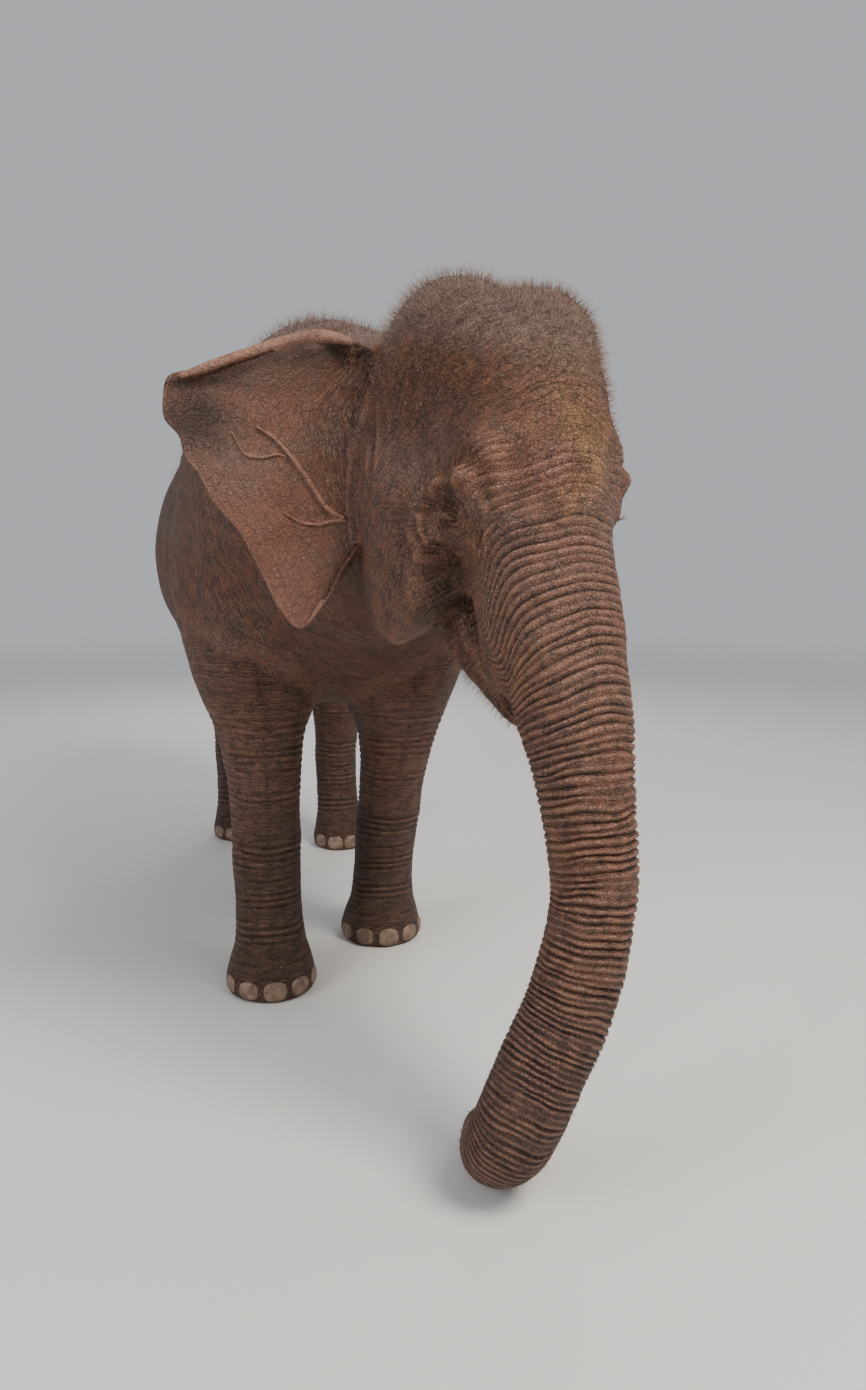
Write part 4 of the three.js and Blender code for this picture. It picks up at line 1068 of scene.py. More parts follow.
def eye_disc(side):
    """Rings round the eye: lid margin, folds, and an outer border that dips under the skin of the head."""
    at, out, ahead, over = EYES[side] = eye_axes(side)
    turn = even_turns(DISC_AROUND)
    around, up = circle(turn, ahead, over), np.sin(turn)
    margin = slit(turn, np.where(up > 0, LID_HIGH, LID_LOW))
    share = np.linspace(0, 1, DISC_ROWS)[:, None] ** 1.25
    wide = mix(margin, DISC_WIDE, share)
    flat = at + wide[..., None] * around
    skin = find_surface(flesh, flat - 40 * out, np.broadcast_to(out, flat.shape), 40)
    height = (skin - flat) @ out
    ball = np.sqrt(np.maximum((EYE_RADIUS + LID_THICK) ** 2 - wide ** 2, 0))
    gap = np.clip((ball - height) / 16 + 0.5, 0, 1)
    height = mix(height, ball, gap) + 8 * gap * (1 - gap)
    past = wide - margin
    wander = 2.5 * noise(skin, 30, 41)
    for apart, thin, deep, above in LID_FOLDS:
        height = height - deep * step(up * above, 0.05, 0.75) * bell(past + wander - apart, thin)
    height = height + 2.4 * bell(past, 3.5) + 1.6 * noise(skin, 11, 43) * step(past, 2, 8)
    rows = creased(flat + height[..., None] * out, np.broadcast_to(out, flat.shape))
    rows = rows + (1.2 * (1 - step(share, 0.5, 0.85)) - 14 * step(share, 0.86, 1))[..., None] * out
    cup = [at + (margin * k)[:, None] * around + deep * out for k, deep in CUP]
    border = rows[-1] - 14 * out
    back = at - 50 * out
    rings = [*cup[::-1], *rows, border, back + (border - back) * 0.5]
    ones = np.ones((len(rings), DISC_AROUND))
    return shell(rings, at + 2 * out, back, along=ones * np.arange(len(rings))[:, None] * 3, lined=0.7 * ones,
                 across=ones * np.abs(turn - math.pi) * 45)


def eye_pit(points):
    """Sinks the skin of the head under each disc: 30 mm within 26 mm of the eye, nothing past 56 mm."""
    for at, out, ahead, over in EYES.values():
        away = points - at
        wide = np.hypot(away @ ahead, away @ over)
        points = points - ((1 - step(wide, 26, 56)) * 30 * (away @ out > -40))[..., None] * out
    return points


EYE_SHELLS = [eye_disc(side) for side in (-1, 1)]
BODY_SHELL["points"] = eye_pit(BODY_SHELL["points"])
print("eyes at", [np.round(eye[0]) for eye in EYES.values()], "packed eye at", EYE_AT)

# %% [markdown]
# ## From arrays to meshes
# Blender takes whole arrays at once, which is far quicker than adding faces one by one. A number for each point is
# kept on the mesh as an attribute, for the material to read.

# %% Making a mesh
def make_mesh(name, points, quads, threes):
    """A mesh from points in design millimetres and two arrays of faces."""
    mesh = bpy.data.meshes.new(name)
    corners = np.concatenate([quads.ravel(), threes.ravel()]).astype(np.int32)
    sizes = np.concatenate([np.full(len(quads), 4), np.full(len(threes), 3)])
    mesh.vertices.add(len(points))
    mesh.vertices.foreach_set("co", to_metres(points).ravel().astype(np.float32))
    mesh.loops.add(len(corners))
    mesh.loops.foreach_set("vertex_index", corners)
    mesh.polygons.add(len(sizes))
    mesh.polygons.foreach_set("loop_start", (np.cumsum(sizes) - sizes).astype(np.int32))
    mesh.update(calc_edges=True)
    return mesh


def keep_numbers(mesh, name, values):
    """Stores one number a point."""
    mesh.attributes.new(name, "FLOAT", "POINT").data.foreach_set("value", np.ascontiguousarray(values, np.float32))


print("meshes can be made")

# %% [markdown]
# ## One skin
# Blender's Boolean unites the closed shells and drops what lies inside others. Its manifold way keeps the quads,
# and numbers kept on the points go through; the new points along a seam take theirs from their neighbours.

# %% Uniting the shells
KEPT = ("known", "ear", "along", "across", "lined", "fold", "dim")
shells = [BODY_SHELL, *LEG_SHELLS, JAW_SHELL, TAIL_SHELL, *EYE_SHELLS, *EAR_SHELLS]
pieces = []
for i, part in enumerate(shells):
    mesh = make_mesh("shell_%d" % i, part["points"], part["quads"], part["threes"])
    for name in KEPT:
        values = part["marks"].get(name, 1.0 if name == "known" else 0.0)
        keep_numbers(mesh, name, np.zeros(len(part["points"])) + values)
    pieces.append(bpy.data.objects.new("shell_%d" % i, mesh))
    bpy.context.scene.collection.objects.link(pieces[-1])
joined_to = bpy.data.collections.new("joined_to")
for piece in pieces[1:]:
    joined_to.objects.link(piece)
join = pieces[0].modifiers.new("join", "BOOLEAN")
join.operation, join.operand_type, join.collection, join.solver = "UNION", "COLLECTION", joined_to, "MANIFOLD"
seen = bpy.context.evaluated_depsgraph_get()
skin_mesh = bpy.data.meshes.new_from_object(pieces[0].evaluated_get(seen), preserve_all_data_layers=True,
                                            depsgraph=seen)
for piece in pieces:
    old = piece.data
    bpy.data.objects.remove(piece)
    bpy.data.meshes.remove(old)
bpy.data.collections.remove(joined_to)
skin_mesh.name = "skin"
print("skin: %d points, %d faces" % (len(skin_mesh.vertices), len(skin_mesh.polygons)))

# %% [markdown]
# ## Reading numbers off the skin
# The numbers that went through the Boolean are read back as arrays. Points that are new along a seam have none that
# can be trusted, so they take the mean of their known neighbours.

# %% Neighbours and numbers
count = len(skin_mesh.vertices)
edges = np.empty(len(skin_mesh.edges) * 2, np.int32)
skin_mesh.edges.foreach_get("vertices", edges)
edges = edges.reshape(-1, 2)
both = np.concatenate([edges, edges[:, ::-1]])
degree = np.maximum(np.bincount(both[:, 0], minlength=count), 1)


def mean_of_neighbours(values):
    """For each point the mean of the values at the points it shares an edge with."""
    if values.ndim == 1:
        return np.bincount(both[:, 0], values[both[:, 1]], minlength=count) / degree
    return np.stack([mean_of_neighbours(values[:, k]) for k in range(values.shape[1])], -1)


def numbers(name):
    """Reads one kept number a point."""
    values = np.empty(count, np.float32)
    skin_mesh.attributes[name].data.foreach_get("value", values)
    return values.astype(float)


skin_at = np.empty(count * 3, np.float32)
skin_mesh.vertices.foreach_get("co", skin_at)
skin_at = skin_at.reshape(-1, 3) * 1000.0 - SHIFT
on_shell = numbers("known") > 0.5


def filled(values, known, rounds=5):
    """Gives each unknown point the mean of its known neighbours, a few times over."""
    known = known.astype(float)
    for _ in range(rounds):
        share_known = mean_of_neighbours(known)
        values = np.where(known > 0.5, values, mean_of_neighbours(values * known) / np.maximum(share_known, 1e-6))
        known = np.maximum(known, share_known > 0)
    return values


print("new points along the seams:", (~on_shell).sum())

# %% [markdown]
# ## Soft seams
# Where two shells meet, the Boolean leaves a sharp corner. Flesh has none, so the points near a seam are drawn to the
# mean of their neighbours, except on the ears and close round the eyes, where thin edges have to stay.

# %% Smoothing the seams
kept = {name: filled(numbers(name), on_shell) for name in KEPT[1:]}
by_seam = mean_of_neighbours(1.0 - on_shell) > 0
for name in ("lined", "fold"):
    kept[name] = np.where(by_seam | ~on_shell, 0, kept[name])
ear = kept["ear"]
seam = 1.0 - on_shell
for _ in range(4):
    seam = np.maximum(seam, mean_of_neighbours(seam) * 1.6).clip(0, 1)
seam *= 1 - step(ear, 0.13, 0.2)
seam *= np.prod([step(np.linalg.norm(skin_at - eye[0], axis=1), 30, 50) for eye in EYES.values()], axis=0)
for _ in range(8):
    skin_at = skin_at + (mean_of_neighbours(skin_at) - skin_at) * (0.55 * seam)[:, None]
skin_mesh.vertices.foreach_set("co", to_metres(skin_at).ravel().astype(np.float32))
skin_mesh.update()
skin_way = np.empty(count * 3, np.float32)
skin_mesh.vertices.foreach_get("normal", skin_way)
skin_way = skin_way.reshape(-1, 3).astype(float)
print("points smoothed along the seams:", (seam > 0.1).sum())

# %% [markdown]
# ## Grooves and ridges
# Dirt gathers in grooves and rubs off ridges, and the hide also gets painted shade in its grooves and a painted
# highlight on its ridges. How far a point lies below the mean of its neighbours, by the length of the edges there,
# tells which it is.

# %% How sunk each point is
edge_long = np.linalg.norm(skin_at[both[:, 0]] - skin_at[both[:, 1]], axis=1)
edge_long = np.bincount(both[:, 0], edge_long, minlength=count) / degree
sunk = ((mean_of_neighbours(skin_at) - skin_at) * skin_way).sum(-1) / np.maximum(edge_long, 1)
away_from_seam = on_shell & (mean_of_neighbours(on_shell.astype(float)) > 0.99)
sunk = filled(sunk, away_from_seam)
sunk = 0.6 * sunk + 0.4 * mean_of_neighbours(sunk)
print("sunk from %.2f to %.2f of an edge" % (sunk.min(), sunk.max()))

# %% [markdown]
# ## Mud, dust and shade
# Each number here says where one colour lies: grey dust on crown and back, ochre mud on the forehead, dark legs, and
# shade in deep places, such as the pit under the eye and the corner of the mouth. Behind each eye fine lines fan out,
# so each point there knows how far it is from the eye and in which direction.

# %% Colours by place
SHADED = [  # place on the head, how wide, how dark
    ((219, -3, -10), 24, 0.45), ((220, -2, -9), 11, 0.9), ((222, 38, 96), 24, 0.3),  # round the eye, brow's knob
    ((158, -62, -142), 26, 0.9), ((154, -70, -170), 34, 0.95), ((176, -86, -205), 30, 0.8),  # pit under the eye
    ((122, -95, -240), 34, 0.9),  # cheek beside the trunk
    ((232, 5, 48), 18, 0.85), ((232, -10, 20), 18, 0.6), ((245, -26, 50), 12, 0.4),  # fold under the brow
    ((204, 62, 40), 12, 0.5)]
FAN_STARTS, FAN_ENDS, FAN_HALF = (34, 60), (130, 250), (1.2, 2.2)  # millimetres from the eye, and its angle
head_at = in_head(skin_at)
aside_of_head = np.abs(head_at[:, 0])
in_front = step(-skin_at[:, 1], 1300, 1500)
ochre = bell(aside_of_head, 120) * bell(head_at[:, 2] - 190, 150) * step(head_at[:, 1], -80, 20)
ochre *= in_front * step(noise(skin_at, 90, 51) + 0.5 * noise(skin_at, 30, 52), -0.5, 0.6)
crown = step(head_at[:, 2], 260, 430) * in_front
back_dust = step(skin_at[:, 2], 1750, 2150) * (1 - in_front)
grey = np.clip(np.maximum(crown * 0.9, back_dust * 0.6) + 0.25 * noise(skin_at, 160, 53), 0, 1)
shade = kept.pop("dim")
for spot, wide, strength in SHADED:
    away = np.linalg.norm(np.column_stack([aside_of_head, head_at[:, 1:]]) - spot, axis=1)
    shade = np.maximum(shade, strength * bell(away, wide))
low = 1 - step(skin_at[:, 2], 150, 900)
behind_eye, over_eye = -3 - head_at[:, 1], head_at[:, 2] + 11
reach, spoke = np.hypot(behind_eye, over_eye), np.arctan2(over_eye, behind_eye)
fan = step(reach, *FAN_STARTS) * (1 - step(reach, *FAN_ENDS)) * (1 - step(np.abs(spoke), *FAN_HALF))
fan *= step(aside_of_head, 130, 170) * (1 - step(ear, 0.0, 0.1)) * in_front
kept.update(sunk=sunk, ochre=ochre, grey=grey, shade=shade, low=low, reach=reach, spoke=spoke, rays=fan)
for name, values in kept.items():
    if name in skin_mesh.attributes:
        skin_mesh.attributes.remove(skin_mesh.attributes[name])
    keep_numbers(skin_mesh, name, values)
for name in ("known", "dim"):
    skin_mesh.attributes.remove(skin_mesh.attributes[name])
print("points with ochre mud: %d, with lines behind the eyes: %d" % ((ochre > 0.3).sum(), (fan > 0.3).sum()))

# %% [markdown]
# ## A hand for materials
# Blender's materials are graphs of nodes. This small class lets their sums be written as sums.

# %% Materials as sums
class Paint:
    """One material's graph: `node` adds any node, `colours` mixes two colours."""

    def __init__(self, name, **constant):
        self.material = bpy.data.materials.new(name)
        self.material.use_nodes = True
        self.tree = self.material.node_tree
        self.body = self.tree.nodes["Principled BSDF"]
        for socket, value in constant.items():
            self.body.inputs[socket.replace("_", " ")].default_value = value

    def node(self, kind, settings=None, **inputs):
        """Adds a node, sets its settings, then its inputs, and returns it."""
        made = self.tree.nodes.new(kind)
        for name, value in (settings or {}).items():
            setattr(made, name, value)
        for name, value in inputs.items():
            self.put(made.inputs[name.replace("_", " ")], value)
        return made

    def put(self, socket, value):
        """Links a value to a socket, or sets the constant on it."""
        if isinstance(value, Value):
            self.tree.links.new(value.socket, socket)
        elif hasattr(value, "is_output"):
            self.tree.links.new(value, socket)
        else:
            socket.default_value = value

    def number(self, name):
        """A number kept on the mesh."""
        return Value(self, self.node("ShaderNodeAttribute", {"attribute_name": name}).outputs["Fac"])

    def colours(self, share, first, second):
        """Mixes two colours: first where share is 0."""
        made = self.node("ShaderNodeMix", {"data_type": "RGBA"})
        for k, value in ((0, share), (6, first), (7, second)):
            self.put(made.inputs[k], value)
        return made.outputs[2]

    def speckle(self, where, size, detail=3.0, rough=0.55):
        """Cloudy noise with blotches of a size in metres, about 0 to 1."""
        made = self.node("ShaderNodeTexNoise", None, Vector=where, Scale=1 / size, Detail=detail, Roughness=rough)
        return Value(self, made.outputs["Fac"])

    def cracks(self, where, size):
        """How far a point is from the edge of its cell, in cells: 0 on a crack."""
        made = self.node("ShaderNodeTexVoronoi", {"feature": "DISTANCE_TO_EDGE"}, Vector=where, Scale=1 / size)
        return Value(self, made.outputs["Distance"])

    def lines(self, down, over, width):
        """1 on wavy lines 1 apart in `down` and 1 long in `over`, 0 between: where noise is half way."""
        flat = self.node("ShaderNodeCombineXYZ", None, X=down, Y=over)
        made = self.node("ShaderNodeTexNoise", None, Vector=flat.outputs[0], Scale=1.0, Detail=1.5, Roughness=0.5)
        return 1 - (Value(self, made.outputs["Fac"]) - 0.5).do("ABSOLUTE").step(0.0, width)

    def shaken(self, where, far):
        """A place moved up to `far` metres by cloudy noise, so that cells lose their straight edges."""
        drift = self.node("ShaderNodeTexNoise", None, Vector=where, Scale=90.0, Detail=2.0)
        moved = self.node("ShaderNodeVectorMath", {"operation": "MULTIPLY_ADD"})
        for socket, value in zip(moved.inputs, (drift.outputs["Color"], (far, far, far), where)):
            self.put(socket, value)
        return moved.outputs[0]

    def finish(self, height=None, far=None, **varying):
        """Joins what varies to the surface, and a height in `far` metres as a bump."""
        for socket, value in varying.items():
            self.put(self.body.inputs[socket.replace("_", " ")], value)
        if height is not None:
            bump = self.node("ShaderNodeBump", None, Height=height, Distance=far, Strength=1.0)
            self.put(self.body.inputs["Normal"], bump.outputs["Normal"])
        return self.material


class Value:
    """A number in a graph that can be added, multiplied and limited."""

    def __init__(self, paint, socket):
        self.paint, self.socket = paint, socket

    def do(self, operation, *others, first=None):
        """A node of arithmetic on this number, or on `first`, and the others."""
        made = self.paint.node("ShaderNodeMath", {"operation": operation})
        for socket, value in zip(made.inputs, (self if first is None else first, *others)):
            self.paint.put(socket, value)
        return Value(self.paint, made.outputs[0])

    def __add__(self, other): return self.do("ADD", other)
    def __radd__(self, other): return self.do("ADD", other)
    def __sub__(self, other): return self.do("SUBTRACT", other)
    def __rsub__(self, other): return self.do("SUBTRACT", self, first=other)
    def __mul__(self, other): return self.do("MULTIPLY", other)
    def __rmul__(self, other): return self.do("MULTIPLY", other)

    def step(self, low, high):
        """0 below low and 1 above high, smoothly between."""
        made = self.paint.node("ShaderNodeMapRange", {"interpolation_type": "SMOOTHSTEP"})
        for name, value in (("Value", self), ("From Min", low), ("From Max", high)):
            self.paint.put(made.inputs[name], value)
        return Value(self.paint, made.outputs["Result"])


def show(name, mesh, material, *nodes):
    """Puts a mesh in the scene as a piece that rides on the body, in place of the given nodes of the solids."""
    mesh.materials.append(material)
    mesh.shade_smooth()
    piece = bpy.data.objects.new(name, mesh)
    bpy.context.scene.collection.objects.link(piece)
    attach(piece, "root")
    if nodes:
        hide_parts(*nodes)
    return piece


print("materials can be written, and pieces shown")

# %% [markdown]
# ## Lines in the hide
# The hide is crossed by lines of many sizes. Wrinkles run round the body, thin ones lie between them, and two nets of
# cracks cover all. Lines fan out behind the eyes, and one runs down between each two folds of the trunk. All of them
# are only a few millimetres wide, so they are bump and colour in the material, not geometry.

# %% Wrinkles and cracks
WRINKLE_APART, WRINKLE_LONG = 13, 110
THIN_APART, THIN_LONG = 6, 50
SPOKES, FAN_LONG_APART = 8, 110  # lines of the fan for each radian
CRACKS, WIDE_CRACKS, SHAKE = 0.008, 0.021, 0.012  # metres


def hide_lines(paint, where, broad, middling, fine):
    """Wrinkles, thin lines, the fan, the lines between folds and the two nets: each 1 on a line and 0 off it."""
    fold, lined = paint.number("fold"), paint.number("lined")
    free = 1 - fold.step(0.5, 3.0)
    bent, across = paint.number("along") + middling * 16 + fine * 5, paint.number("across")
    wrinkle = paint.lines(bent * (1 / WRINKLE_APART), across * (1 / WRINKLE_LONG), 0.06)
    thin = paint.lines(bent * (1 / THIN_APART), across * (1 / THIN_LONG), 0.07)
    spoke = paint.number("spoke") * SPOKES + middling * 0.7 + fine * 0.4
    crow = paint.lines(spoke, paint.number("reach") * (1 / FAN_LONG_APART), 0.07) * paint.number("rays")
    between = (fold * (2 * math.pi) + middling * 5 + broad * 4).do("SINE").do("ABSOLUTE")
    between = (1 - between.step(0.0, 0.4)) * fold.step(24.0, 34.0) * middling.step(0.4, 0.6)
    place = paint.shaken(where, SHAKE)
    net = 1 - paint.cracks(place, CRACKS).step(0.0, 0.16)
    wide_net = (1 - paint.cracks(place, WIDE_CRACKS).step(0.0, 0.12)) * middling.step(0.35, 0.55)
    return (wrinkle * lined * (0.25 + 0.75 * free), thin * lined * (0.4 + 0.6 * free), crow, between, net, wide_net)


print("wrinkles %d mm apart, cracks %d mm" % (WRINKLE_APART, CRACKS * 1000))

# %% [markdown]
# ## The hide
# Under dust and mud the skin is grey, but this cow wears the red-brown earth of her yard. Ridges are rubbed pale and
# carry a painted highlight, grooves hold dark mud and painted shade, the crown is dusty grey, and the ears lose their
# pigment and turn pink. Each colour is laid over the one before it, by its own number on the skin and by cloudy
# noise, and the dark mud with the painted shade comes last.

# %% The colours of the hide
# the darkest colour stands for dark mud and for painted shade, the palest for rubbed skin and a painted highlight
MUD, DARK_MUD_AND_SHADE, RUBBED_AND_HIGHLIT = (0.165, 0.066, 0.036, 1), (0.020, 0.009, 0.006, 1), (0.38, 0.19, 0.125, 1)
DUSTY, PINK, OCHRE = (0.155, 0.098, 0.08, 1), (0.215, 0.088, 0.06, 1), (0.30, 0.17, 0.055, 1)
LEG_DARK = (0.058, 0.029, 0.019, 1)


def hide(name):
    """The material of the skin: colours by place, a painted highlight on ridges, then dirt in grooves and lines with
    painted shade, and the lines as a bump.
    """
    paint = Paint(name, Specular_IOR_Level=0.4)
    where = paint.node("ShaderNodeTexCoord").outputs["Object"]
    broad, middling = paint.speckle(where, 0.22), paint.speckle(where, 0.04)
    fine, grain = paint.speckle(where, 0.011), paint.speckle(where, 0.003, 2.0)
    wrinkle, thin, crow, between, net, wide_net = hide_lines(paint, where, broad, middling, fine)
    sunk, ear = paint.number("sunk"), paint.number("ear")
    bare = 1 - ear.step(0.0, 0.1)
    colour = paint.colours((broad * 0.7 + middling * 0.5).step(0.45, 0.8) * 0.7, MUD, DUSTY)
    colour = paint.colours(paint.number("low").step(0.0, 0.8) * 0.85, colour, LEG_DARK)
    colour = paint.colours((paint.number("grey") * (0.5 + middling)).step(0.2, 0.9) * 0.7, colour, DUSTY)
    colour = paint.colours(ear.step(0.3, 1.0) * (0.2 + 0.6 * broad.step(0.35, 0.65)), colour, PINK)
    colour = paint.colours(paint.number("ochre") * (0.3 + middling) * 0.7, colour, OCHRE)
    # ridges turn pale: rubbed skin, and a painted highlight where the ridges stand out
    rub_and_highlight = (0 - sunk).step(0.01, 0.16) * (0.35 + fine) + middling.step(0.55, 0.75) * fine.step(0.45, 0.7) * 0.5
    colour = paint.colours((rub_and_highlight * 0.6).do("MINIMUM", 1.0), colour, RUBBED_AND_HIGHLIT)
    # dark mud in grooves and lines, with painted shade in the grooves and in the deep places of the shade number
    groove = sunk.step(0.04, 0.3) * (0.45 + 0.55 * bare)
    dirt_and_shade = groove * 0.8 + wrinkle * 0.45 + thin * 0.3 + crow * 0.38 - paint.number("rays") * 0.22 + net * 0.22
    dirt_and_shade = dirt_and_shade + wide_net * (0.1 + 0.2 * bare) + between * 0.4
    dirt_and_shade = dirt_and_shade + ((fine - 0.5) * 0.9 + (middling - 0.5) * 1.1) * (0.35 + 0.65 * bare)
    dirt_and_shade = (dirt_and_shade + paint.number("shade")).do("MINIMUM", 1.0).do("MAXIMUM", 0.0)
    colour = paint.colours(dirt_and_shade * 0.85, colour, DARK_MUD_AND_SHADE)
    rough = 0.5 + 0.25 * middling + 0.15 * groove
    height = middling * 1.3 + fine * 1.1 + grain * 0.35 - wrinkle * 1.5 - thin * 0.8 - net * (0.4 + 0.5 * bare)
    height = height - wide_net * 0.8 - between * 1.2 - crow * 2.2
    return paint.finish(height, 0.0038, Base_Color=colour, Roughness=rough)


skin_mesh.materials.clear()
FLESH = [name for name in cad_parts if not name.startswith(("eye", "nail", "tail_tuft"))]
show("skin", skin_mesh, hide("hide"), *FLESH)
print("the skin replaces", len(FLESH), "solids")

# %% [markdown]
# ## Eyes
# The iris is brown, and almost fills the opening, so the eye reads as a dark bead with one light in it. The ball is
# a fine sphere with the iris and the pupil drawn by the distance from its front.

# %% Eyeballs
IRIS_DARK, IRIS_LIGHT = (0.045, 0.018, 0.008, 1), (0.13, 0.055, 0.02, 1)
PUPIL, WHITE = (0.004, 0.003, 0.003, 1), (0.11, 0.06, 0.045, 1)
BALL_RINGS, BALL_AROUND = 26, 40
EYE_LOOK = Paint("eye_wet", Roughness=0.08, Specular_IOR_Level=0.6, Coat_Weight=0.6, Coat_Roughness=0.04)
from_front = EYE_LOOK.number("from_front")
threads = EYE_LOOK.speckle(EYE_LOOK.node("ShaderNodeTexCoord").outputs["Object"], 0.002)
iris = EYE_LOOK.colours(threads.step(0.35, 0.65), IRIS_DARK, IRIS_LIGHT)
ball_colour = EYE_LOOK.colours(from_front.step(0.6, 0.66), iris, WHITE)
ball_colour = EYE_LOOK.colours(from_front.step(0.24, 0.27), PUPIL, ball_colour)
EYE_MATERIAL = EYE_LOOK.finish(Base_Color=ball_colour)
for name, (at, out, ahead, over) in zip(("right", "left"), EYES.values()):
    tilt = np.linspace(0, math.pi, BALL_RINGS)[1:-1, None]
    rings = at + EYE_RADIUS * circle(tilt, out, circle(even_turns(BALL_AROUND), ahead, over))
    ball = shell(list(rings), at + EYE_RADIUS * out, at - EYE_RADIUS * out)
    mesh = make_mesh("eyeball_" + name, ball["points"], ball["quads"], ball["threes"])
    keep_numbers(mesh, "from_front", np.linalg.norm(ball["points"] - at - EYE_RADIUS * out, axis=1) / EYE_RADIUS)
    show("eyeball_" + name, mesh, EYE_MATERIAL, "eye_" + name)
print("two eyeballs, %.0f mm wide" % (2 * EYE_RADIUS))

# %% [markdown]
# ## Toenails
# Each toe ends in a nail like a flat oval stone, set into the edge of the pad. The forefeet have five and the hind
# feet four. A nail is an ellipsoid squared off a little, with fine ridges down it from growth.

# %% One nail
NAIL_SIZE, NAIL_SINK, NAIL_RISE = (40, 11, 34), 5, 8
NAIL_STEPS = (18, 28)


def squared(x):
    """A cosine or sine with corners: |x|^0.8 with the sign of x."""
    return np.sign(x) * np.abs(x) ** 0.8


def nail_shell(at, turn, size):
    """An ellipsoid of squared cosines and sines, with ridges down its front, turned about the upright."""
    tilt, around = np.linspace(0, math.pi, NAIL_STEPS[0])[1:-1, None], even_turns(NAIL_STEPS[1])[None]
    x, y = squared(np.sin(tilt)) * squared(np.cos(around)), squared(np.sin(tilt)) * squared(np.sin(around))
    z = squared(np.cos(tilt)) * np.ones_like(around)
    ridge = 1 + 0.035 * np.sin(x * 22) * (y < 0)
    x, y, z = (size * wide * part for wide, part in zip(NAIL_SIZE, (x, y * ridge, z)))
    turned = np.stack([x * math.cos(turn) - y * math.sin(turn), x * math.sin(turn) + y * math.cos(turn), z], -1)
    top = np.array([0, 0, NAIL_SIZE[2] * size])
    return shell(list(at + turned), at + top, at - top)


print("a nail is %d mm wide and %d mm high at most" % (2 * NAIL_SIZE[0], 2 * NAIL_SIZE[2]))

# %% [markdown]
# ## Nails on every foot
# The nails sit round the front of each foot, turned outward, the middle one largest. All are one mesh.

# %% Nails on every foot
NAILS = {"fore": (5, 35), "hind": (4, 37)}  # how many, and how many degrees apart
nails, nail_names = [], []
for name, (side, rows) in LEGS.items():
    x, y, wide, deep = read_table(rows, [NAIL_SIZE[2]])[0]
    many, apart = NAILS[name.split("_")[0]]
    for i in range(many):
        from_middle = i - (many - 1) / 2
        turn = math.radians(from_middle * apart)
        at = np.array([side * x + math.sin(turn) * (wide - NAIL_SINK), y - math.cos(turn) * (deep - NAIL_SINK),
                       NAIL_SIZE[2] + NAIL_RISE])
        nails.append(nail_shell(at, turn, 1 - 0.09 * abs(from_middle)))
        nail_names.append("nail_%s_%d" % (name, i + 1))
offset = np.cumsum([0] + [len(nail["points"]) for nail in nails])
nail_mesh = make_mesh("toenails", np.concatenate([nail["points"] for nail in nails]),
                      np.concatenate([nail["quads"] + k for nail, k in zip(nails, offset)]),
                      np.concatenate([nail["threes"] + k for nail, k in zip(nails, offset)]))
print("nails: %d with %d points" % (len(nails), offset[-1]))

# %% [markdown]
# ## Horn
# Nail horn is pale, cloudy and a little rough. Its colour varies over 3 cm, and its bump over a few millimetres.

# %% The look of horn
NAIL_LOOK = Paint("nail_horn", Roughness=0.55, Specular_IOR_Level=0.4)
nail_where = NAIL_LOOK.node("ShaderNodeTexCoord").outputs["Object"]
cloud = NAIL_LOOK.speckle(nail_where, 0.03)
nail_colour = NAIL_LOOK.colours(cloud.step(0.3, 0.7), (0.11, 0.066, 0.045, 1), (0.235, 0.155, 0.11, 1))
horn = NAIL_LOOK.finish(NAIL_LOOK.speckle(nail_where, 0.006), 0.0008, Base_Color=nail_colour)
show("toenails", nail_mesh, horn, *nail_names)
print("toenails:", len(nails))

# %% [markdown]
# ## Bristles
# An elephant is thinly haired, and cows keep stiff bristles on the crown, along the back and on the chin. They break
# the outline of the head with a pale fuzz. Roots are drawn at random on the triangles of the skin, by their area.
# Every bristle also gets a small patch on a map of the skin, `OFBake`: the place along the body, and how far round.

# %% The map of the skin
MAP_ROUND, MAP_LONG, MAP_START = 3800, 6400, 900  # millimetres that the map holds, and how far behind 0 it starts
skin_mesh.calc_loop_triangles()
corners = np.empty(len(skin_mesh.loop_triangles) * 3, np.int32)
skin_mesh.loop_triangles.foreach_get("vertices", corners)
corners = corners.reshape(-1, 3)
corner_at = skin_at[corners]
area = np.linalg.norm(np.cross(corner_at[:, 1] - corner_at[:, 0], corner_at[:, 2] - corner_at[:, 0]), axis=1) / 2
row_at, row_left, _, _ = crossing(np.clip(kept["along"], 0, LENGTH))
left_or_right = np.sign(((skin_at - row_at) * row_left).sum(-1))
map_place = np.stack([0.5 + left_or_right * np.minimum(kept["across"] / MAP_ROUND, 0.49),
                      0.01 + np.clip(kept["along"] + MAP_START, 0, 6200) / MAP_LONG], -1)
print("area of the skin: %.1f square metres" % (area.sum() / 1e6))

# %% [markdown]
# ## Hairs as thin spikes
# Each bristle is a spike of three sides that leans over toward its tip. All spikes of a coat are one mesh, made by
# whole arrays: one ring of three points for each bend of each hair, and a point at the end.

# %% Spikes
SIDES, FLOOR_GAP = 3, 2
PATCH_WIDE, PATCH_HIGH = 0.0014, 0.0028  # of the map


def spike_points(roots, ways, tips_way, long, thick, bends):
    """Rings round the line root + long (way (t - t^2 / 2) + tip way t^2 / 2), thinner as 1 - 0.75 t, and its end."""
    t = np.linspace(0, 1, bends + 1)[:, None, None]
    line = roots + long[:, None] * (ways * (t - 0.5 * t ** 2) + tips_way * 0.5 * t ** 2) * 1.35
    line[..., 2] = np.maximum(line[..., 2], FLOOR_GAP)
    side = unit(np.cross(ways, tips_way + [0.31, 0.17, 0.23]), 1e-6)
    ring = circle(even_turns(SIDES)[:, None], side, np.cross(ways, side))
    rings = line[:-1, None] + ring[None] * (thick[None, :, None] * (1 - t[:-1] * 0.75))[:, None]
    return np.concatenate([rings.reshape(bends * SIDES, len(roots), 3), line[-1:]]).transpose(1, 0, 2)


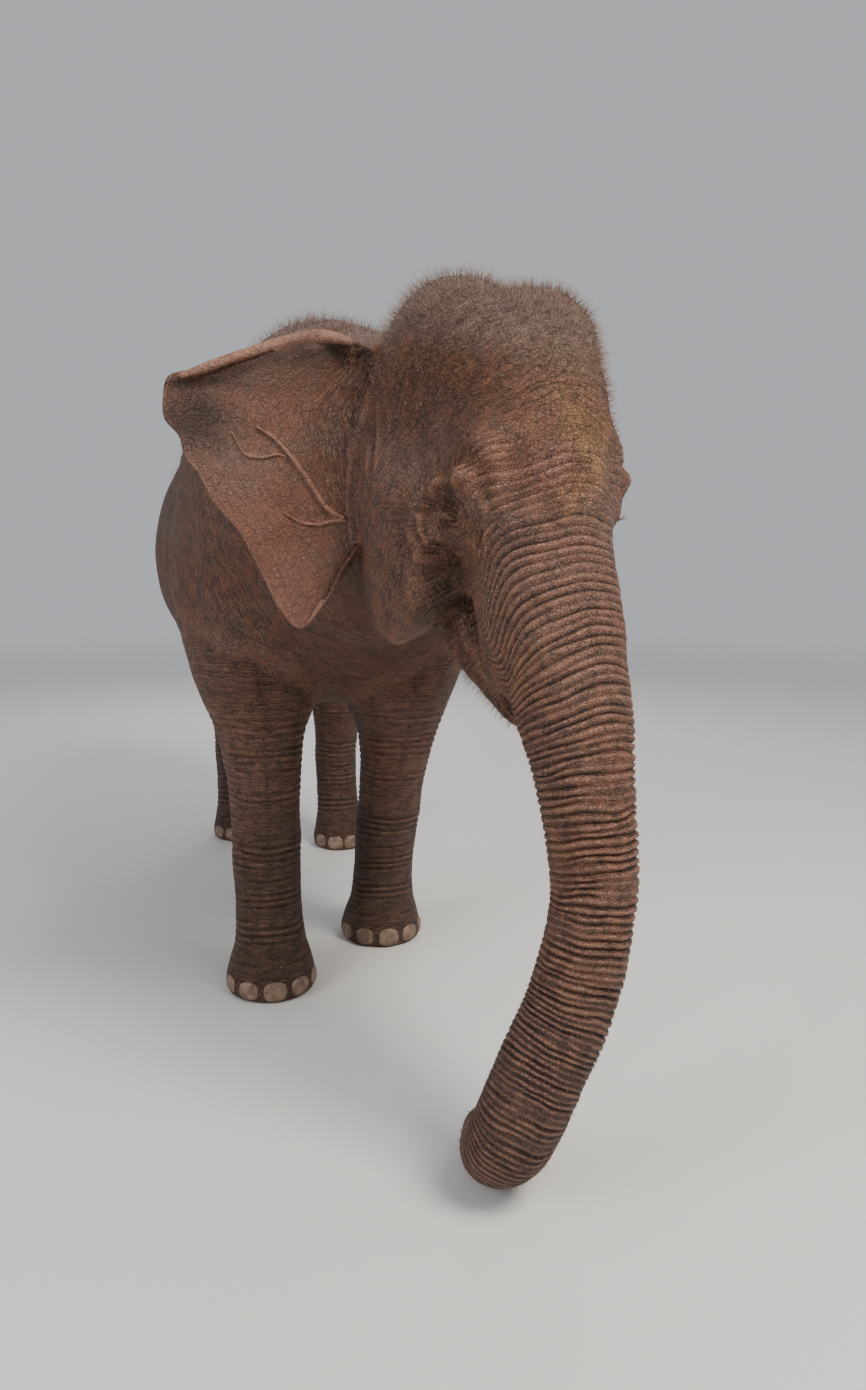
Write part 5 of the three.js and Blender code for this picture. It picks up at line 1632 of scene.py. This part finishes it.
def thin_spikes(name, roots, ways, tips_way, long, thick, places, numbers_at_root, material, bends=2, nodes=()):
    """One mesh of spikes, each with its patch on the map at `places` and with numbers from its root."""
    count, points_each, last = len(roots), bends * SIDES + 1, SIDES * (bends - 1)
    points = spike_points(roots, ways, tips_way, long, thick, bends)
    k = np.arange(SIDES)
    beside = (k + 1) % SIDES
    quads = np.concatenate([np.stack([k, beside, beside + SIDES, k + SIDES], -1) + SIDES * row
                            for row in range(bends - 1)])
    threes = np.concatenate([np.stack([k + last, beside + last, np.full(SIDES, bends * SIDES)], -1), [[2, 1, 0]]])
    start = (np.arange(count) * points_each)[:, None, None]
    mesh = make_mesh(name, points.reshape(-1, 3), (start + quads).reshape(-1, 4), (start + threes).reshape(-1, 3))
    loops = np.empty(len(mesh.loops), np.int32)
    mesh.loops.foreach_get("vertex_index", loops)
    within = loops % points_each
    patch = np.stack([(within % SIDES - 1) * PATCH_WIDE, (within / points_each - 0.5) * PATCH_HIGH], -1)
    uv = mesh.uv_layers.new(name="OFBake")
    uv.data.foreach_set("uv", (places[loops // points_each] + patch).astype(np.float32).ravel())
    for number, values in numbers_at_root.items():
        keep_numbers(mesh, number, np.repeat(values, points_each))
    show(name, mesh, material, *nodes)
    print("%s: %d spikes, %d triangles" % (name, count, count * (bends * 6 - 2)))


print("a spike of two bends has", 2 * SIDES + 1, "points")

# %% [markdown]
# ## Growing a coat
# The chance of a root on a triangle is its area times the density there. The way and the length of each bristle
# vary a little at random, and its colour comes from the skin at its root.

# %% Coats
def grow(name, count, density, long, thick, lie, seed, material, spread=0.45):
    """Bristles on the skin: density(points) says where, long(points) how long, lie(way) which way they lean."""
    rng = np.random.default_rng(seed)
    chance = area * density(corner_at.mean(1))
    chosen = rng.choice(len(area), count, p=chance / chance.sum())
    a, b = rng.random((2, count))
    a, b = np.where(a + b > 1, 1 - a, a), np.where(a + b > 1, 1 - b, b)
    weights = np.stack([1 - a - b, a, b], -1)[..., None]
    at_corners = corners[chosen]
    roots = (skin_at[at_corners] * weights).sum(1)
    way = unit((skin_way[at_corners] * weights).sum(1))
    way = unit(way + rng.normal(0, spread * 0.5, (count, 3)))
    tips = unit(lie(way) + rng.normal(0, spread, (count, 3)))
    size = long(roots) * rng.uniform(0.55, 1.25, count)
    at_root = {number: (kept[number][at_corners] * weights[..., 0]).sum(1) for number in ("grey", "ochre", "low")}
    thin_spikes(name, roots - way * 1.5, way, tips, size, np.full(count, thick),
                (map_place[at_corners] * weights).sum(1), at_root, material)


def bristle_material(name, light):
    """The colours of the hide under it, paler by `light`."""
    paint = Paint(name, Roughness=0.8, Specular_IOR_Level=0.2)
    where = paint.node("ShaderNodeTexCoord").outputs["Object"]
    base = paint.colours(paint.number("grey").step(0.2, 0.9) * 0.7, MUD, DUSTY)
    base = paint.colours(paint.number("ochre") * 0.4, base, OCHRE)
    pale = paint.colours(light, base, (0.52, 0.40, 0.30, 1))
    return paint.finish(Base_Color=paint.colours(paint.speckle(where, 0.004).step(0.35, 0.65), base, pale))


BRISTLE, DARK_BRISTLE = bristle_material("bristle", 0.45), bristle_material("bristle_dark", 0.2)
print("two kinds of bristle:", BRISTLE.name, DARK_BRISTLE.name)

# %% [markdown]
# ## Three coats
# The bristles of the crown stand longest and palest. Those of the back are a thin mane along its ridge, and those of
# the trunk are short, with a beard on the jaw. None grow on the ears or on the eyes.

# %% Where bristles grow
def head_density(points):
    """Thick on the crown and forehead, thinner on temples and cheeks; none on the ears."""
    x, y, z = in_head(points).T
    front = step(-points[:, 1], 1250, 1450)
    off_ear = 1 - step(np.abs(x), 330, 345)
    crown = step(z, 120, 330)
    return front * off_ear * (0.12 + 1.0 * crown + 0.3 * step(z, -20, 160)) * (z > -420) * (np.abs(x) < 345)


def back_density(points):
    """A mane along the ridge of neck and back, thin on the flanks."""
    ridge = bell(points[:, 0], 260) * step(points[:, 2], 1500, 1900)
    thinner_ahead = 1 - step(-points[:, 1], 1150, 1500) * 0.6
    return (points[:, 1] > -1500) * (points[:, 2] > 900) * (0.07 + ridge) * thinner_ahead


def trunk_density(points):
    """Short bristles down the trunk, more toward the tip, and a beard on the jaw."""
    x, y, z = in_head(points).T
    beard = (z < -300) & (y < 90) & (y > -200) & (np.abs(x) < 130) & (points[:, 2] > 950)
    trunk = (points[:, 1] < -1700) & (points[:, 2] < 1560)
    return beard * 2.2 + trunk * (0.25 + 0.6 * (1 - step(points[:, 2], 100, 900)))


def off_eyes(points):
    """1, but 0 within 42 mm of the middle of an eye."""
    return np.prod([np.linalg.norm(points - eye[0], axis=1) > 42 for eye in EYES.values()], axis=0)


def backward(way):
    """Leans back and a little up."""
    return way * 0.75 + [0, 0.6, 0.15]


def downward(way):
    """Leans down."""
    return way * 0.6 + [0, 0, -0.7]


grow("crown_bristles", 11000, lambda points: off_eyes(points) * head_density(points),
     lambda points: mix(10, 32, step(in_head(points)[:, 2], 60, 380)), 0.5, backward, 71, BRISTLE)
grow("back_bristles", 9000, back_density,
     lambda points: mix(16, 34, step(points[:, 2], 1500, 2000)), 0.55, backward, 72, DARK_BRISTLE)
grow("trunk_bristles", 6000, lambda points: off_eyes(points) * trunk_density(points),
     lambda points: mix(24, 10, step(-points[:, 1], 1850, 1950)), 0.45, downward, 73, BRISTLE, 0.35)

# %% [markdown]
# ## Eyelashes
# Long lashes shade the eye. They grow from the edge of the upper lid, go out and then hang over.

# %% Lashes
LASHES = 46  # on each eye
rng = np.random.default_rng(81)
roots, ways, tips = [], [], []
for at, out, ahead, over in EYES.values():
    turn = np.radians(rng.uniform(25, 155, LASHES))
    beside = np.cos(turn)[:, None] * ahead
    roots.append(at + (slit(turn, LID_HIGH) + 1.5)[:, None] * circle(turn, ahead, over) + (EYE_RADIUS + 3) * out)
    ways.append(out + 0.35 * beside - 0.1 * over + rng.normal(0, 0.1, (LASHES, 3)))
    tips.append(0.6 * out + 0.6 * beside - 0.75 * over + rng.normal(0, 0.15, (LASHES, 3)))
roots, ways, tips = (np.concatenate(rows) for rows in (roots, ways, tips))
thin_spikes("eyelashes", roots, unit(ways), unit(tips), rng.uniform(24, 38, len(roots)), np.full(len(roots), 0.7),
            np.stack([np.linspace(0.3, 0.7, len(roots)), np.full(len(roots), 0.62)], -1), {}, BRISTLE, 4)

# %% [markdown]
# ## The brush of the tail
# The tail ends in a flat brush of stiff black hairs, 15 to 25 cm long, that grow from both edges of its tip.

# %% Tail hair
HAIR_LOOK = Paint("black_hair", Base_Color=(0.022, 0.016, 0.013, 1), Roughness=0.4, Specular_IOR_Level=0.5).material
TUFT_HAIRS, TUFT_BENDS = 1500, 7
share = rng.random(TUFT_HAIRS) ** 0.8
on_tail = TAIL[-2] + (TAIL[-1] - TAIL[-2]) * (share[:, None] * 1.05)
turn = rng.choice([0, math.pi], TUFT_HAIRS) + rng.normal(0, 0.75, TUFT_HAIRS)
around = np.stack([0.35 * np.sin(turn), np.cos(turn), np.zeros(TUFT_HAIRS)], -1)
ways = unit(around * 0.55 + [0, 0, -1.0] + rng.normal(0, 0.1, (TUFT_HAIRS, 3)))
tips = unit(around * 0.12 + [0, 0, -1.0] + rng.normal(0, 0.12, (TUFT_HAIRS, 3)))
thin_spikes("tail_brush", on_tail + around * mix(16, 6, share)[:, None], ways, tips,
            mix(250, 150, share) * rng.uniform(0.7, 1.1, TUFT_HAIRS), np.full(TUFT_HAIRS, 0.9),
            np.stack([0.01 + 0.02 * turn % 0.03, 0.1 + 0.1 * share], -1), {}, HAIR_LOOK, TUFT_BENDS, ["tail_tuft"])

# %% [markdown]
# ## Floor
# A plain pale floor that fades out with distance, so that it has no edge.

# %% Floor
FLOOR_HALF, FLOOR_FADES = 90, (4.5, 14.0)  # metres
floor_mesh = bpy.data.meshes.new("floor")
floor_mesh.from_pydata([(x * FLOOR_HALF, y * FLOOR_HALF, 0) for x, y in ((-1, -1), (1, -1), (1, 1), (-1, 1))], [],
                       [(0, 1, 2, 3)])
FLOOR_LOOK = Paint("pale_floor", Base_Color=(0.62, 0.6, 0.57, 1), Roughness=0.9)
from_middle = FLOOR_LOOK.node("ShaderNodeVectorMath", {"operation": "LENGTH"})
FLOOR_LOOK.put(from_middle.inputs[0], FLOOR_LOOK.node("ShaderNodeTexCoord").outputs["Object"])
floor_shows = 1 - Value(FLOOR_LOOK, from_middle.outputs["Value"]).step(*FLOOR_FADES)
floor_mesh.materials.append(FLOOR_LOOK.finish(Alpha=floor_shows))
floor = bpy.data.objects.new("floor", floor_mesh)
bpy.context.scene.collection.objects.link(floor)
print("floor shows within", FLOOR_FADES[1], "m")

# %% [markdown]
# ## Lights
# A large soft lamp from above and the left like the open sky, a weak one from the right, and one from behind that
# lights the back. The world around is pale, so that no shadow is black.

# %% Lamps and sky
LAMPS = [  # name, place and aim in metres, width, watts, colour
    ("sky_lamp", (2.6, -4.6, 6.2), (0.2, -0.9, 1.3), 2.6, 620, (1.0, 0.95, 0.88)),
    ("side_lamp", (-5.0, -3.6, 3.4), (0.0, -1.0, 1.2), 3.0, 200, (0.97, 0.98, 1.0)),
    ("back_lamp", (1.0, 5.5, 4.5), (0.0, 0.5, 1.4), 4.0, 150, (1.0, 1.0, 1.0)),
]


def soft_light(name, at, aim, size, power, colour):
    """A square lamp in metres that looks at a point."""
    lamp = bpy.data.lights.new(name, "AREA")
    lamp.size, lamp.energy, lamp.color = size, power, colour
    holder = bpy.data.objects.new(name, lamp)
    holder.location = at
    holder.rotation_euler = (Vector(aim) - Vector(at)).to_track_quat("-Z", "Y").to_euler()
    bpy.context.scene.collection.objects.link(holder)


for lamp in LAMPS:
    soft_light(*lamp)
world = bpy.data.worlds.new("open_sky")
world.use_nodes = True
for socket, value in (("Color", (0.86, 0.9, 0.95, 1)), ("Strength", 0.55)):
    world.node_tree.nodes["Background"].inputs[socket].default_value = value
bpy.context.scene.world = world
print("lamps:", [lamp[0] for lamp in LAMPS])

# %% [markdown]
# ## Camera
# The camera stands where a person would, with the eye at 1.55 m and close to the trunk. So near, the head looks large
# and the feet small.

# %% Camera
CAMERA_AT, CAMERA_WAY = np.array([-500.28, -4187.66, 1550.0]), Vector((0.2390206, 0.9586593, -0.1544067))
camera = bpy.data.cameras.new("camera")
camera.sensor_fit, camera.sensor_height, camera.lens = "VERTICAL", 24, 17.456
camera_holder = bpy.data.objects.new("camera", camera)
camera_holder.location = to_metres(CAMERA_AT)
camera_holder.rotation_euler = CAMERA_WAY.to_track_quat("-Z", "Y").to_euler()
bpy.context.scene.collection.objects.link(camera_holder)
bpy.context.scene.camera = camera_holder
print("camera at", np.round(camera_holder.location, 3))
